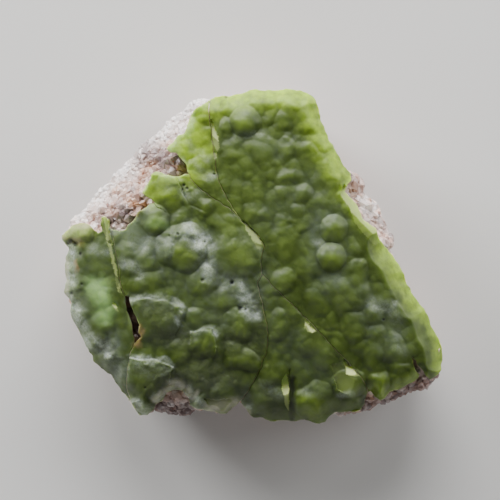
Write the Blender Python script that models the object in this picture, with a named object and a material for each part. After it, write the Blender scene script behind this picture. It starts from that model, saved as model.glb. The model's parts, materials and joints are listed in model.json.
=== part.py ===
"""Phosphohedyphane specimen: a cracked, botryoidal green crust on a block of quartz rock.

Blender works in metres with +Z up. The specimen lies on the flat break of its rock, crust upwards.
The origin is on the resting face, in the middle of the specimen's outline. The tables are in
millimetres and the function metres() turns them into Blender's units.
"""

import math
import random

import bmesh
import bpy
import numpy as np
from mathutils import Matrix, Vector, noise
from mathutils.bvhtree import BVHTree
from mathutils.geometry import delaunay_2d_cdt

MILLIMETRE = 0.001

# Driving sizes of the crust
CROWN_HEIGHT = 27.0
CROWN_X, CROWN_Y = 2.0, 7.0
BOW_ACROSS = 0.0042
BOW_ALONG = 0.0040
CRUST_THICKNESS = 3.6
EDGE_THICKNESS = 1.8
THINNEST_CRUST = 1.2
HALF_CRACK = 0.18
BEDDING_GAP = 0.3
SETTLED_GAP = 0.4
LUMP_BLEND = 4.0
WALL_RAGGED = 0.25
WALL_RAGGED_SCALE = 0.7
CRUST_CREASE = 40

# Driving sizes of the rock
ROCK_RISE = 1.75
RIM_DROP = 0.5
SETTLING_ROUNDS = 8
BASE_X, BASE_Y = 2.0, 0.0
BASE_INSET = 0.13
WALL_TUCK = 1.5
WALL_ROWS = 7
ROCK_ROUGHNESS = 0.5
ROCK_ROUGHNESS_SCALE = 0.5
BLOCK_SIZE = 7.5
BLOCK_STEP = 1.0
BLOCK_SLANT = 2.6
ROCK_CREASE = 25

# Mesh spacing
CRUST_EDGE_STEP = 1.7
CRUST_STEP = 1.75
CRUST_UNDER_STEP = 4.5
CLOSEST_POINTS = 0.95
ROCK_EDGE_STEP = 2.6
ROCK_STEP = 2.9

# Cracks that run right through the crust, as centre lines
LEFT_CRACK_UPPER = [
    (-28.5, 7.4), (-28.1, 5.8), (-27.7, 3.4), (-27.1, 0.6), (-26.7, -1.8), (-26.5, -4.2),
    (-25.9, -6.4), (-25.3, -7.6),
]
LEFT_CRACK_LOWER = [
    (-23.4, -17.2), (-24.1, -18.8), (-24.7, -21.0), (-25.1, -23.0), (-25.3, -25.0),
    (-25.1, -27.0), (-24.5, -29.0),
]
WEDGE_CRACK = [
    (-2.5, 7.6), (-4.5, 9.6), (-6.5, 10.8), (-8.5, 12.0), (-10.3, 13.4), (-11.9, 15.0),
    (-12.7, 16.4),
]
DIAGONAL_UPPER = [
    (-8.5, 31.4), (-8.7, 29.4), (-8.5, 27.4), (-8.1, 25.0), (-7.9, 22.4), (-7.5, 19.8),
    (-7.3, 17.8), (-6.7, 15.4), (-5.9, 13.2), (-4.9, 11.4), (-3.7, 9.4), (-2.5, 7.6),
]
DIAGONAL_MIDDLE = [
    (-2.5, 7.6), (-1.1, 6.2), (0.5, 4.8), (1.7, 3.4), (2.3, 2.0), (1.9, 0.2), (1.7, -1.6),
    (1.9, -3.2),
]
DIAGONAL_LOWER = [
    (1.9, -3.2), (3.1, -4.6), (4.5, -6.2), (6.1, -7.8), (7.9, -9.4), (9.5, -11.0),
    (11.1, -12.6), (12.7, -14.4), (14.5, -16.2), (16.3, -18.2), (18.1, -20.0),
    (19.9, -21.8), (21.5, -23.8), (22.5, -25.6), (23.2, -27.0),
]
BOTTOM_CRACK = [
    (1.9, -3.2), (0.9, -5.0), (1.3, -7.0), (1.9, -9.2), (2.5, -11.6), (2.9, -14.2),
    (3.1, -17.0), (2.5, -19.6), (1.5, -22.2), (0.3, -24.6), (-1.1, -26.8), (-2.5, -28.8),
]

# The two sides of the left crack where it gapes
GAPE_LEFT = [(-25.3, -9.2), (-24.7, -11.2), (-24.1, -13.0), (-23.8, -15.0), (-23.4, -16.6)]
GAPE_RIGHT = [
    (-24.6, -7.8), (-24.5, -9.0), (-23.7, -10.8), (-23.1, -12.2), (-22.6, -13.4),
    (-22.7, -14.6), (-22.2, -15.8), (-23.0, -16.7),
]

# Outer edges of the crust: "rim" edges are grown or worn round, "break" edges stop on bare rock
LEFT_RIM = [
    (-25.5, -27.8), (-26.7, -26.4), (-27.7, -24.8), (-28.5, -23.6), (-29.7, -22.8),
    (-31.1, -21.8), (-31.9, -20.8), (-32.5, -19.4), (-33.3, -18.0), (-34.1, -16.4),
    (-34.7, -15.0), (-35.7, -13.4), (-36.3, -12.2), (-36.7, -10.8), (-36.3, -9.4),
    (-36.9, -8.4), (-37.9, -7.0), (-37.7, -5.6), (-37.3, -4.6), (-37.7, -3.0),
    (-37.7, -1.4), (-37.3, 0.2), (-36.9, 1.4), (-37.3, 2.4), (-38.1, 3.6), (-38.3, 4.2),
]
LEFT_BREAK = [
    (-37.3, 5.2), (-36.1, 6.2), (-34.5, 7.0), (-32.9, 6.8), (-31.7, 5.8), (-30.7, 4.8),
    (-29.9, 5.2), (-30.3, 6.6), (-30.1, 8.0), (-29.3, 8.2),
]
CENTRE_BREAK = [
    (-13.3, 16.6), (-14.7, 16.0), (-16.3, 16.2), (-17.9, 16.6), (-19.1, 17.0),
    (-19.9, 16.6), (-20.3, 15.4), (-21.1, 14.2), (-21.9, 12.8), (-20.5, 11.6),
    (-19.5, 10.8), (-20.5, 10.4), (-21.7, 9.6), (-22.5, 9.4), (-23.1, 8.8),
    (-23.5, 7.2), (-24.7, 6.4), (-25.3, 5.6), (-26.5, 5.2), (-27.7, 5.4),
]
CENTRE_RIM = [
    (-23.5, -30.8), (-22.5, -31.8), (-21.1, -31.8), (-19.9, -30.8), (-19.3, -29.4),
    (-17.9, -28.6), (-17.1, -27.2), (-15.7, -26.4), (-14.1, -26.8), (-12.9, -28.2),
    (-12.5, -29.6), (-11.1, -30.4), (-9.3, -30.8), (-7.7, -30.8), (-6.5, -31.4),
    (-5.3, -31.4), (-4.1, -30.4), (-2.9, -29.4),
]
WEDGE_BREAK = [
    (-9.3, 30.8), (-10.5, 30.0), (-11.9, 29.0), (-12.7, 27.4), (-13.1, 25.8),
    (-13.7, 24.6), (-14.9, 24.0), (-15.5, 23.0), (-16.7, 22.2), (-17.1, 21.4),
    (-16.3, 20.6), (-15.1, 20.6), (-14.5, 19.8), (-13.5, 18.8), (-13.1, 17.6),
]
TOP_RIM = [
    (-7.5, 31.8), (-6.3, 32.1), (-4.5, 32.0), (-2.9, 32.4), (-1.9, 32.6), (-0.7, 33.2),
    (0.7, 33.4), (3.1, 33.2), (5.1, 33.3), (6.5, 33.6), (7.9, 33.4), (9.5, 33.1),
    (11.1, 32.6), (12.1, 32.0), (12.7, 31.0),
]
SHOULDER_RIM = [
    (13.1, 29.8), (13.5, 28.8), (13.5, 27.6), (14.3, 26.0), (14.7, 24.6), (15.5, 23.0),
    (16.1, 22.2), (16.7, 21.0), (17.5, 19.4), (18.5, 18.0), (19.7, 16.6),
]
RIGHT_BREAK = [
    (19.5, 15.2), (18.7, 13.8), (18.3, 13.0), (19.3, 11.8), (20.5, 10.6), (21.3, 9.0),
    (21.7, 7.8), (22.9, 6.8), (24.3, 6.0), (24.9, 4.8), (25.5, 3.4),
]
RIGHT_RIM = [
    (26.5, 2.0), (27.7, 0.8), (28.7, -0.6), (29.9, -2.6), (30.7, -4.8), (31.9, -7.0),
    (33.1, -8.6), (33.7, -9.6), (34.5, -10.4), (35.5, -12.6), (36.5, -14.8),
    (37.5, -16.6), (38.1, -18.4), (38.3, -20.8), (37.9, -22.2), (37.5, -23.4),
    (36.7, -24.0), (35.7, -24.6),
]
RIGHT_NOTCH = [
    (34.9, -24.0), (34.1, -22.8), (32.9, -21.4), (31.7, -19.8), (32.1, -21.4),
    (32.9, -22.8), (33.5, -23.6),
]
RIGHT_FOOT_RIM = [
    (33.3, -24.2), (31.9, -25.2), (30.5, -26.0), (29.1, -26.6), (27.5, -27.2),
    (26.5, -28.4), (25.5, -28.8), (24.3, -28.0), (23.7, -26.8),
]
BOTTOM_RIM = [
    (22.7, -28.2), (22.5, -29.6), (21.7, -30.6), (20.3, -31.0), (18.5, -31.0),
    (16.5, -31.2), (15.3, -32.0), (14.5, -33.2), (13.5, -33.6), (12.1, -33.2),
    (10.5, -32.6), (8.5, -33.0), (6.1, -32.8), (3.5, -33.0), (2.1, -32.2), (0.1, -32.2),
    (-1.1, -31.0), (-2.1, -29.4),
]

# How the crust turns down towards its rims: line, width of the turn, drop, power of the curve
TURN_DOWNS = [
    (TOP_RIM, 3.2, 2.6, 2.0),
    (SHOULDER_RIM, 3.4, 3.0, 1.6),
    (RIGHT_RIM[:14], 4.8, 6.0, 1.1),
    (RIGHT_RIM[13:], 2.6, 2.6, 1.6),
    (RIGHT_FOOT_RIM, 3.4, 3.0, 2.0),
    (BOTTOM_RIM, 4.4, 4.2, 2.0),
    (CENTRE_RIM, 3.8, 3.6, 2.0),
    (LEFT_RIM, 4.2, 3.8, 1.8),
]

# Lumps of the crust: x, y, radius, height, and how round their sides are (low is steep)
LUMPS = [
    # right piece, from the top down
    (-1.5, 27.2, 3.3, 2.5, 0.6), (9.1, 29.6, 3.2, 0.9, 1.2), (6.1, 27.0, 1.9, 0.7, 1.0),
    (3.5, 28.0, 1.3, 0.5, 1.0), (11.1, 26.6, 1.7, 0.6, 1.0), (6.3, 21.2, 1.9, 0.8, 0.9),
    (9.9, 21.0, 1.9, 0.6, 1.0), (1.9, 21.4, 2.6, 0.6, 1.2), (-3.7, 21.4, 2.0, 0.5, 1.2),
    (6.7, 16.2, 2.3, 0.7, 1.0), (10.1, 12.2, 1.8, 0.7, 0.9), (5.7, 12.2, 1.5, 0.5, 1.0),
    (9.5, 9.2, 1.5, 0.5, 1.0), (0.5, 8.8, 1.9, 0.6, 1.0), (9.5, 6.6, 1.4, 0.8, 0.7),
    (5.9, 7.0, 1.7, 0.5, 1.0), (12.5, 10.4, 1.9, 0.5, 1.0), (6.9, 2.8, 3.1, 0.9, 1.1),
    (6.1, -4.4, 2.5, 1.1, 0.9), (10.5, -2.6, 2.6, 0.6, 1.1), (16.1, 5.6, 2.9, 1.8, 0.7),
    (15.7, 0.0, 3.0, 2.3, 0.6), (18.5, -6.6, 4.4, 1.5, 1.0), (20.9, -3.4, 2.3, 1.0, 0.9),
    (19.9, 2.0, 1.7, 0.5, 1.0), (14.5, 11.4, 2.8, 0.6, 1.2), (15.1, 16.2, 2.7, 0.6, 1.2),
    (13.1, -8.6, 2.5, 0.7, 1.0), (23.9, -11.0, 2.5, 0.8, 1.0), (26.7, -8.0, 2.0, 0.7, 1.0),
    (28.9, -11.0, 1.8, 0.6, 0.9), (19.9, -14.0, 2.6, 0.7, 1.0), (15.5, -13.0, 1.9, 0.5, 1.0),
    (24.7, -16.0, 2.2, 0.7, 1.0), (28.7, -18.6, 2.8, 1.1, 0.9), (32.1, -17.4, 1.6, 0.8, 0.7),
    (31.7, -15.0, 1.2, 0.6, 0.8), (23.9, -19.8, 2.0, 0.8, 0.9), (22.1, -18.4, 1.4, 0.6, 0.9),
    (29.3, -22.4, 1.8, 0.7, 1.0), (25.1, -25.6, 2.4, 1.5, 0.8), (28.9, -24.8, 1.7, 0.7, 0.9),
    (31.3, -24.4, 1.3, 0.6, 0.9), (16.7, -16.8, 2.0, 0.6, 1.0),
    # centre piece
    (-19.3, 7.2, 2.9, 1.6, 0.8), (-17.3, 13.0, 2.8, 0.8, 1.0), (-13.9, 1.8, 4.4, 2.1, 0.9),
    (-8.9, 9.8, 1.8, 0.8, 0.9), (-2.5, 1.0, 3.9, 1.9, 0.9), (-4.9, 5.8, 2.4, 0.6, 1.1),
    (-13.9, 8.4, 1.8, 0.6, 1.0), (-24.5, 1.0, 1.7, 0.6, 1.0), (-21.1, -1.0, 2.0, 0.8, 1.0),
    (-20.1, -5.0, 2.2, 0.9, 0.9), (-23.1, -6.0, 1.4, 0.8, 0.8), (-24.5, -2.2, 1.4, 0.4, 1.0),
    (-19.5, -11.8, 4.8, 1.5, 0.5), (-14.9, -10.4, 1.8, 0.8, 0.8), (-9.9, -4.6, 2.8, 1.0, 1.0),
    (-11.3, -12.0, 2.1, 0.9, 0.9), (-6.1, -8.6, 2.8, 0.8, 1.0), (-2.5, -13.4, 3.1, 1.4, 0.9),
    (-9.3, -17.0, 3.0, 1.4, 0.6), (-20.5, -23.6, 4.6, 1.3, 0.5), (-14.1, -18.6, 2.4, 0.7, 1.0),
    (-3.5, -19.6, 2.4, 0.6, 1.0), (-0.1, -21.0, 1.5, 0.7, 0.8), (-10.5, -23.6, 2.8, 0.6, 1.1),
    (-5.3, -27.0, 2.7, 0.8, 1.0), (-21.9, -29.4, 1.8, 0.8, 0.9), (-6.1, -29.8, 1.4, 0.5, 1.0),
    (-15.3, -24.6, 1.6, 0.6, 0.9),
    # left piece
    (-34.1, 4.6, 2.4, 1.6, 0.7), (-37.0, 4.2, 1.0, 0.6, 0.8), (-30.9, -1.0, 2.6, 1.0, 0.9),
    (-35.5, -5.6, 2.0, 0.8, 0.9), (-34.9, -8.6, 1.8, 0.5, 1.0), (-30.1, -7.8, 4.0, 0.9, 1.2),
    (-34.9, -11.6, 2.2, 0.6, 1.0), (-30.9, -13.6, 2.8, 0.7, 1.0), (-31.5, -17.0, 2.0, 0.9, 0.8),
    (-28.1, -20.6, 2.4, 0.6, 1.0), (-29.7, 2.0, 1.3, 0.5, 1.0), (-36.1, -1.0, 1.6, 0.5, 1.0),
    # wedge piece
    (-11.3, 24.4, 2.4, 0.7, 1.0), (-10.5, 28.4, 2.0, 0.6, 1.0), (-11.3, 18.4, 1.8, 0.6, 1.0),
    (-8.1, 15.4, 1.4, 0.5, 1.0), (-13.9, 21.8, 1.6, 0.5, 1.0),
    # bottom piece
    (5.1, -13.6, 2.6, 1.0, 0.9), (7.5, -11.6, 1.6, 0.5, 1.0), (11.9, -17.0, 2.8, 0.8, 1.0),
    (13.9, -19.4, 2.4, 0.9, 1.0), (3.9, -23.0, 2.3, 0.8, 1.0), (2.5, -28.6, 2.8, 0.6, 1.0),
    (11.7, -28.6, 3.3, 1.6, 0.6), (18.9, -25.0, 3.3, 1.6, 0.8), (9.5, -23.0, 2.4, 0.6, 1.0),
    (19.5, -29.0, 2.0, 0.8, 0.9), (16.3, -28.8, 1.6, 0.5, 1.0),
]

# Flat chips broken off the crust: x, y, reach, direction it faces, slope in degrees, depth
CHIPS = [
    (0.9, 3.6, 1.9, 45, 38, 0.15), (11.1, -13.0, 1.5, 40, 30, 0.1),
    (19.5, -21.9, 2.4, 50, 36, 0.5), (6.7, -26.4, 2.6, 180, 30, 0.4),
    (16.9, -23.6, 2.4, 110, 26, 0.7), (21.4, -26.4, 2.2, -25, 34, 0.5),
    (12.4, -25.6, 2.2, 75, 30, 0.5), (-27.9, 1.0, 1.4, 10, 36, 0.3),
    (-27.2, -4.6, 1.3, 5, 32, 0.3), (-8.6, 23.6, 1.3, 0, 34, 0.2),
    (3.3, -20.4, 2.0, 170, 34, 0.5), (-0.3, -20.6, 1.5, 20, 30, 0.3),
    (22.6, 9.6, 3.0, 35, 40, 0.6), (21.0, 11.4, 2.6, 30, 38, 0.5),
]

# The rock's widest line, clockwise from the left tip: x, y and height. A height of None is
# right under the crust.
ROCK_RIM = [
    (-36.8, 4.6, 14), (-36.1, 7.2, 11), (-34.9, 8.2, 9.5), (-33.3, 9.2, 9), (-32.4, 11.2, 8.5),
    (-30.3, 13.8, 8), (-28.9, 15.4, 8), (-26.5, 17.4, 8), (-24.7, 19.2, 8), (-22.9, 21.2, 8),
    (-20.1, 23.6, 8.5), (-18.3, 25.0, 9), (-16.5, 27.0, 9.5), (-13.7, 29.2, 10.5),
    (-11.5, 31.2, 12), (-10.1, 31.6, 13), (-8.3, 30.9, 15), (-4.5, 30.9, None),
    (-0.7, 31.9, None), (3.1, 32.1, None), (6.5, 32.4, None), (9.5, 31.9, None),
    (11.6, 30.6, None), (12.3, 28.0, None), (13.2, 25.2, None), (14.7, 22.0, None),
    (16.4, 18.8, None), (18.4, 16.6, None), (19.8, 15.4, 16), (20.7, 14.6, 15),
    (21.5, 12.6, 14), (22.5, 10.8, 13.5), (24.2, 9.8, 13), (24.8, 8.2, 13), (25.3, 6.8, 13),
    (26.2, 4.8, 13), (27.2, 3.4, 13), (26.9, 1.4, None), (27.6, -0.8, None),
    (28.8, -3.2, None), (30.6, -7.0, None), (32.4, -10.0, None), (34.2, -12.8, None),
    (35.6, -15.8, None), (36.8, -18.6, None), (37.0, -21.0, None), (36.6, -23.2, None),
    (35.6, -25.0, 12), (34.1, -26.3, 11), (31.7, -26.7, 11), (29.9, -27.5, 11),
    (28.0, -28.6, 11), (25.3, -29.2, 11), (24.0, -30.2, 11), (22.2, -30.6, 11),
    (20.0, -31.1, 11.5), (18.3, -31.3, 12), (16.0, -30.4, None), (13.4, -32.2, None),
    (9.5, -31.6, None), (5.5, -31.7, None), (2.0, -31.0, None), (-1.0, -29.6, None),
    (-3.0, -28.6, None), (-5.8, -30.2, None), (-9.0, -29.8, None), (-11.4, -30.0, 12),
    (-12.7, -30.6, 11.5), (-14.1, -31.0, 11), (-16.1, -31.0, 11), (-18.1, -30.6, 11),
    (-19.6, -30.2, 12), (-21.5, -30.4, None), (-23.6, -29.0, None), (-26.0, -25.8, None),
    (-28.2, -22.6, None), (-31.0, -20.4, None), (-32.4, -17.4, None), (-33.8, -14.6, None),
    (-35.4, -11.6, None), (-35.6, -8.8, None), (-36.4, -6.4, None), (-36.4, -3.0, None),
    (-36.3, 0.0, None), (-36.0, 2.4, None),
]

# Hollows in the bare rock beside the crust: x, y, radius, depth
ROCK_HOLLOWS = [
    (-16.6, 18.6, 2.6, 1.6), (-26.0, 7.6, 2.4, 1.2), (-22.2, 11.0, 2.0, 1.6),
    (-31.2, 7.2, 1.6, 0.8),
]

# The largest crystals of the right-hand bare rock: x, y, radius, length
BIG_CRYSTALS = [
    (22.9, 9.7, 1.35, 2.2), (23.9, 8.3, 1.1, 1.9), (21.2, 11.7, 0.9, 1.6),
    (20.7, 13.4, 0.85, 1.5), (26.2, 3.4, 1.0, 1.7), (25.2, 5.1, 0.9, 1.6),
    (24.3, 6.8, 0.9, 1.5),
]

# The smaller crystals that cover the bare rock
CRYSTAL_SEED = 11
CRYSTAL_TRIES = 5000
CRYSTAL_RADII = (0.8, 1.5)
CRYSTAL_LENGTHS = (1.1, 1.6)
CRYSTAL_LEAN = 0.5
BIG_CRYSTAL_LEAN = 0.25
CRYSTAL_CLEARANCE = 0.1
CRYSTAL_CROWDING = 0.75
CRYSTAL_SUNK = 0.6
CRYSTAL_SHOULDER = 0.35

CRUST_COLOUR = (0.30, 0.43, 0.12, 1.0)
ROCK_COLOUR = (0.62, 0.56, 0.55, 1.0)


def line_array(line):
    """The x and y of each point of a line, as an array."""
    return np.array([point[:2] for point in line], float)


def along_line(points, line, values=None, closed=False):
    """Distance from each point to a line, and the line's own values at the nearest places."""
    corners = line_array(line)
    values = np.zeros(len(corners)) if values is None else np.array(values, float)
    if closed:
        corners = np.vstack([corners, corners[:1]])
        values = np.append(values, values[0])
    nearest = np.full(len(points), np.inf)
    found = np.zeros(len(points))
    for i in range(len(corners) - 1):
        start, run = corners[i], corners[i + 1] - corners[i]
        share = np.clip((points - start) @ run / max(run @ run, 1e-12), 0, 1)
        away = np.linalg.norm(points - start - share[:, None] * run, axis=1)
        closer = away < nearest
        nearest[closer] = away[closer]
        found[closer] = values[i] + share[closer] * (values[i + 1] - values[i])
    return nearest, found


def inside(points, ring):
    """Whether each point lies inside a closed ring."""
    result = np.zeros(len(points), bool)
    x, y = points[:, 0], points[:, 1]
    for (x0, y0), (x1, y1) in zip(ring, np.roll(ring, -1, axis=0)):
        crosses = (y0 > y) != (y1 > y)
        with np.errstate(divide="ignore", invalid="ignore"):
            result ^= crosses & (x < (x1 - x0) * (y - y0) / (y1 - y0) + x0)
    return result


def anticlockwise(ring):
    """The ring in anticlockwise order."""
    following = np.roll(ring, -1, axis=0)
    area = np.sum(ring[:, 0] * following[:, 1] - following[:, 0] * ring[:, 1])
    return ring if area > 0 else ring[::-1]


def inset(ring, distance):
    """The ring moved inwards, with its corners kept from running away."""
    before = ring - np.roll(ring, 1, axis=0)
    after = np.roll(ring, -1, axis=0) - ring
    inward = [np.stack([-e[:, 1], e[:, 0]], 1) / np.linalg.norm(e, axis=1)[:, None] for e in (before, after)]
    middle = inward[0] + inward[1]
    middle /= np.maximum(np.linalg.norm(middle, axis=1), 0.3)[:, None]
    reach = 1 / np.maximum(np.sum(middle * inward[0], axis=1), 0.55)
    return ring + middle * (distance * reach)[:, None]


def spaced(ring, step):
    """The ring with points added so that no side is longer than the step."""
    points = []
    for start, end in zip(ring, np.roll(ring, -1, axis=0)):
        count = max(1, math.ceil(np.linalg.norm(end - start) / step - 0.25))
        points += [start + (end - start) * i / count for i in range(count)]
    return np.array(points)


def hexagonal_points(ring, step):
    """Evenly spaced points inside a ring, away from its sides."""
    low, high = ring.min(0), ring.max(0)
    rows = []
    for j, y in enumerate(np.arange(low[1], high[1], step * math.sqrt(3) / 2)):
        xs = np.arange(low[0] + (j % 2) * step / 2, high[0], step)
        rows.append(np.stack([xs, np.full(len(xs), y)], 1))
    points = np.vstack(rows)
    points = points[inside(points, ring)]
    return points[along_line(points, ring, closed=True)[0] > step * 0.55]


def dome(points):
    """Height of the low dome that the whole crust follows."""
    x, y = points[:, 0], points[:, 1]
    return CROWN_HEIGHT - BOW_ACROSS * (x - CROWN_X) ** 2 - BOW_ALONG * (y - CROWN_Y) ** 2


def general_form(points):
    """Height of the crust's surface without its lumps: the dome, turned down at its rims."""
    drop = np.zeros(len(points))
    for line, width, depth, power in TURN_DOWNS:
        near = np.clip(1 - along_line(points, line)[0] / width, 0, 1)
        drop = np.maximum(drop, depth * near**power)
    return dome(points) - drop


def lump_height(points):
    """Height of the grown lumps, each blended into its neighbours."""
    total = np.zeros(len(points))
    for x, y, radius, height, roundness in LUMPS:
        away = np.hypot(points[:, 0] - x, points[:, 1] - y) / radius
        cap = height * np.clip(1 - away**2, 0, 1) ** roundness
        total += cap**LUMP_BLEND
    return total ** (1 / LUMP_BLEND)


def chipped(points, height):
    """The height with each chip's plane cut into it."""
    height = height.copy()
    for x, y, reach, facing, slope, depth in CHIPS:
        centre = np.array([[x, y]])
        level = general_form(centre)[0] + lump_height(centre)[0] - depth
        heading = np.array([math.cos(math.radians(facing)), math.sin(math.radians(facing))])
        fall = math.tan(math.radians(slope))
        plane = level - fall * ((points - centre) @ heading)
        near = np.hypot(*(points - centre).T) < reach
        height[near] = np.minimum(height[near], plane[near])
    return height


def crust_under(points):
    """Height of the crust's underside, where it grew on the rock. The crust thins to its rims."""
    return np.minimum(dome(points) - CRUST_THICKNESS, general_form(points) - EDGE_THICKNESS)


def crust_top(points, lift):
    """Height of one crust piece's top, raised or sunk with its piece."""
    height = chipped(points, general_form(points) + lump_height(points)) + lift
    return np.maximum(height, crust_under(points) + THINNEST_CRUST)


def bed_heights(points, outlines):
    """Height the rock would have as the crust's bed, carried on level beside the crust."""
    heights = crust_under(points)
    nearest = np.full(len(points), np.inf)
    covered = np.zeros(len(points), bool)
    beside = heights.copy()
    for outline in outlines:
        covered |= inside(points, outline)
        distance, level = along_line(points, outline, crust_under(outline), closed=True)
        closer = distance < nearest
        nearest[closer] = distance[closer]
        beside[closer] = level[closer]
    return np.where(covered, heights, beside) - BEDDING_GAP


def rock_top(points, outlines):
    """Height of the rock's top: under the crust, or a slope up from the rim where it is bare."""
    under = bed_heights(line_array(ROCK_RIM), outlines) - RIM_DROP
    rim_heights = [under[i] if z is None else z for i, (x, y, z) in enumerate(ROCK_RIM)]
    distance, rim = along_line(points, ROCK_RIM, rim_heights, closed=True)
    bed = bed_heights(points, outlines)
    for x, y, radius, depth in ROCK_HOLLOWS:
        away = np.hypot(points[:, 0] - x, points[:, 1] - y) / radius
        bed = bed - depth * np.clip(1 - away**2, 0, 1)
    return np.minimum(bed, rim + ROCK_RISE * distance)


def settle(rock, crust):
    """Lowers the rock's top wherever a crust piece would not clear it, and the other way round."""
    floor = BVHTree.FromBMesh(crust)
    up, down = Vector((0, 0, 1)), Vector((0, 0, -1))
    gap = SETTLED_GAP * MILLIMETRE
    for _ in range(SETTLING_ROUNDS):
        for vertex in rock.verts:
            start = Vector((vertex.co.x, vertex.co.y, 0))
            hit = floor.ray_cast(start, up)[0]
            if hit:
                vertex.co.z = min(vertex.co.z, hit.z - gap)
        ground = BVHTree.FromBMesh(rock)
        rock.faces.ensure_lookup_table()
        for vertex in crust.verts:
            start = Vector((vertex.co.x, vertex.co.y, CROWN_HEIGHT * MILLIMETRE))
            hit, _, index, _ = ground.ray_cast(start, down)
            if hit and hit.z > vertex.co.z - gap:
                for corner in rock.faces[index].verts:
                    corner.co.z -= hit.z - vertex.co.z + gap


def metres(points, heights):
    """Vectors in Blender's units from table coordinates and heights."""
    return [Vector((x, y, z)) * MILLIMETRE for (x, y), z in zip(points, heights)]


def thinned(points, closest):
    """The points in order, without those too near an earlier one."""
    kept = []
    for point in points:
        if not kept or np.min(np.hypot(*(np.array(kept) - point).T)) > closest:
            kept.append(point)
    return np.array(kept)


def lump_points(ring):
    """Points that give each lump inside a ring its top, shoulder and foot."""
    points = []
    for x, y, radius, height, roundness in LUMPS:
        points.append((x, y))
        for share, count in ((0.55, 6), (0.95, 10)):
            for i in range(count):
                turn = 2 * math.pi * (i + share) / count
                points.append((x + radius * share * math.cos(turn), y + radius * share * math.sin(turn)))
    points = np.array(points)
    points = points[inside(points, ring)]
    return points[along_line(points, ring, closed=True)[0] > CLOSEST_POINTS * 0.7]


def cap(mesh, ring, inner, height_of, facing_up):
    """A surface over a ring and the points inside it. Returns the ring's own vertices."""
    flat = [Vector(p) for p in np.vstack([ring, inner])]
    sides = [(i, (i + 1) % len(ring)) for i in range(len(ring))]
    points, _, faces, sources, _, _ = delaunay_2d_cdt(flat, sides, [], 1, 1e-6)
    points = np.array([(p.x, p.y) for p in points])
    vertices = [mesh.verts.new(v) for v in metres(points, height_of(points))]
    for face in faces:
        corners = [vertices[i] for i in face]
        mesh.faces.new(corners if facing_up else corners[::-1])
    place = {source: i for i, found in enumerate(sources) for source in found}
    return [vertices[place[i]] for i in range(len(ring))]


def wall(mesh, upper, lower):
    """Faces between two rings of vertices that run the same way."""
    count = len(upper)
    for i in range(count):
        j = (i + 1) % count
        mesh.faces.new((upper[j], upper[i], lower[i], lower[j]))


def principled(name, colour, roughness):
    """A material of one colour and roughness."""
    material = bpy.data.materials.new(name)
    material.use_nodes = True
    shader = material.node_tree.nodes["Principled BSDF"]
    shader.inputs["Base Color"].default_value = colour
    shader.inputs["Roughness"].default_value = roughness
    shader.inputs["Metallic"].default_value = 0.0
    material.diffuse_color = colour
    return material


def add_object(name, mesh, material, crease_degrees):
    """A mesh object, with its walls triangulated and its soft edges shaded smooth."""
    bmesh.ops.triangulate(mesh, faces=[f for f in mesh.faces if len(f.verts) > 3])
    bmesh.ops.recalc_face_normals(mesh, faces=mesh.faces)
    data = bpy.data.meshes.new(name)
    mesh.to_mesh(data)
    mesh.free()
    data.materials.append(material)
    data.shade_smooth()
    data.set_sharp_from_angle(angle=math.radians(crease_degrees))
    obj = bpy.data.objects.new(name, data)
    bpy.context.scene.collection.objects.link(obj)
    return obj


def crust_piece(name, outline, lift, material):
    """One piece of crust between cracks: lumpy top, broken side and bedded underside."""
    ring = spaced(inset(anticlockwise(line_array(outline)), HALF_CRACK), CRUST_EDGE_STEP)
    inner = np.vstack([lump_points(ring), hexagonal_points(ring, CRUST_STEP)])
    mesh = bmesh.new()
    top = cap(mesh, ring, thinned(inner, CLOSEST_POINTS), lambda p: crust_top(p, lift), True)
    under = cap(mesh, ring, hexagonal_points(ring, CRUST_UNDER_STEP), crust_under, False)
    halfway = []
    for high, low in zip(top, under):
        ragged = noise.noise(high.co / MILLIMETRE * WALL_RAGGED_SCALE) * WALL_RAGGED
        halfway.append(mesh.verts.new(high.co.lerp(low.co, 0.5 + ragged)))
    wall(mesh, top, halfway)
    wall(mesh, halfway, under)
    return add_object(name, mesh, material, CRUST_CREASE)


def wall_point(rim_point, middle, down):
    """A point of the rock's side below a rim point, from 0 at the rim to 1 at the resting face.

    The side is broken into slanted faces and ledges, one for each block of the rock.
    """
    height = rim_point.z * (1 - down)
    place = Vector((rim_point.x, rim_point.y, height))
    block = noise.voronoi(place / BLOCK_SIZE)[1][0]
    chance = noise.cell_vector(block * 100) * 2 - Vector((1, 1, 1))
    across = place / BLOCK_SIZE - block
    step = chance.x * BLOCK_STEP + (chance.y * across.z + chance.z * across.x) * BLOCK_SLANT
    reach = (rim_point.xy - middle).length
    tuck = reach * BASE_INSET * down**WALL_TUCK
    share = (reach - tuck + min(step * min(1, 3 * down), tuck)) / reach
    rough = noise.noise_vector(place * ROCK_ROUGHNESS_SCALE) * ROCK_ROUGHNESS * min(1, 2 * down)
    flat = middle + (rim_point.xy - middle) * share + rough.xy
    return Vector((flat.x, flat.y, height if down == 1 else height + rough.z))


def matrix_block(crust, outlines):
    """The rock without its crystals: bedded top, rough walls and a flat break to rest on."""
    ring = spaced(anticlockwise(line_array(ROCK_RIM)), ROCK_EDGE_STEP)
    inner = hexagonal_points(ring, ROCK_STEP)
    mesh = bmesh.new()
    upper = cap(mesh, ring, inner, lambda p: rock_top(p, outlines), True)
    settle(mesh, crust)
    rim = [vertex.co / MILLIMETRE for vertex in upper]
    middle = Vector((BASE_X, BASE_Y))
    rows = [
        [wall_point(point, middle, row / WALL_ROWS) for point in rim] for row in range(1, WALL_ROWS + 1)
    ]
    for row in rows:
        lower = [mesh.verts.new(point * MILLIMETRE) for point in row]
        wall(mesh, upper, lower)
        upper = lower
    mesh.faces.new(upper[::-1])
    return mesh


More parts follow.
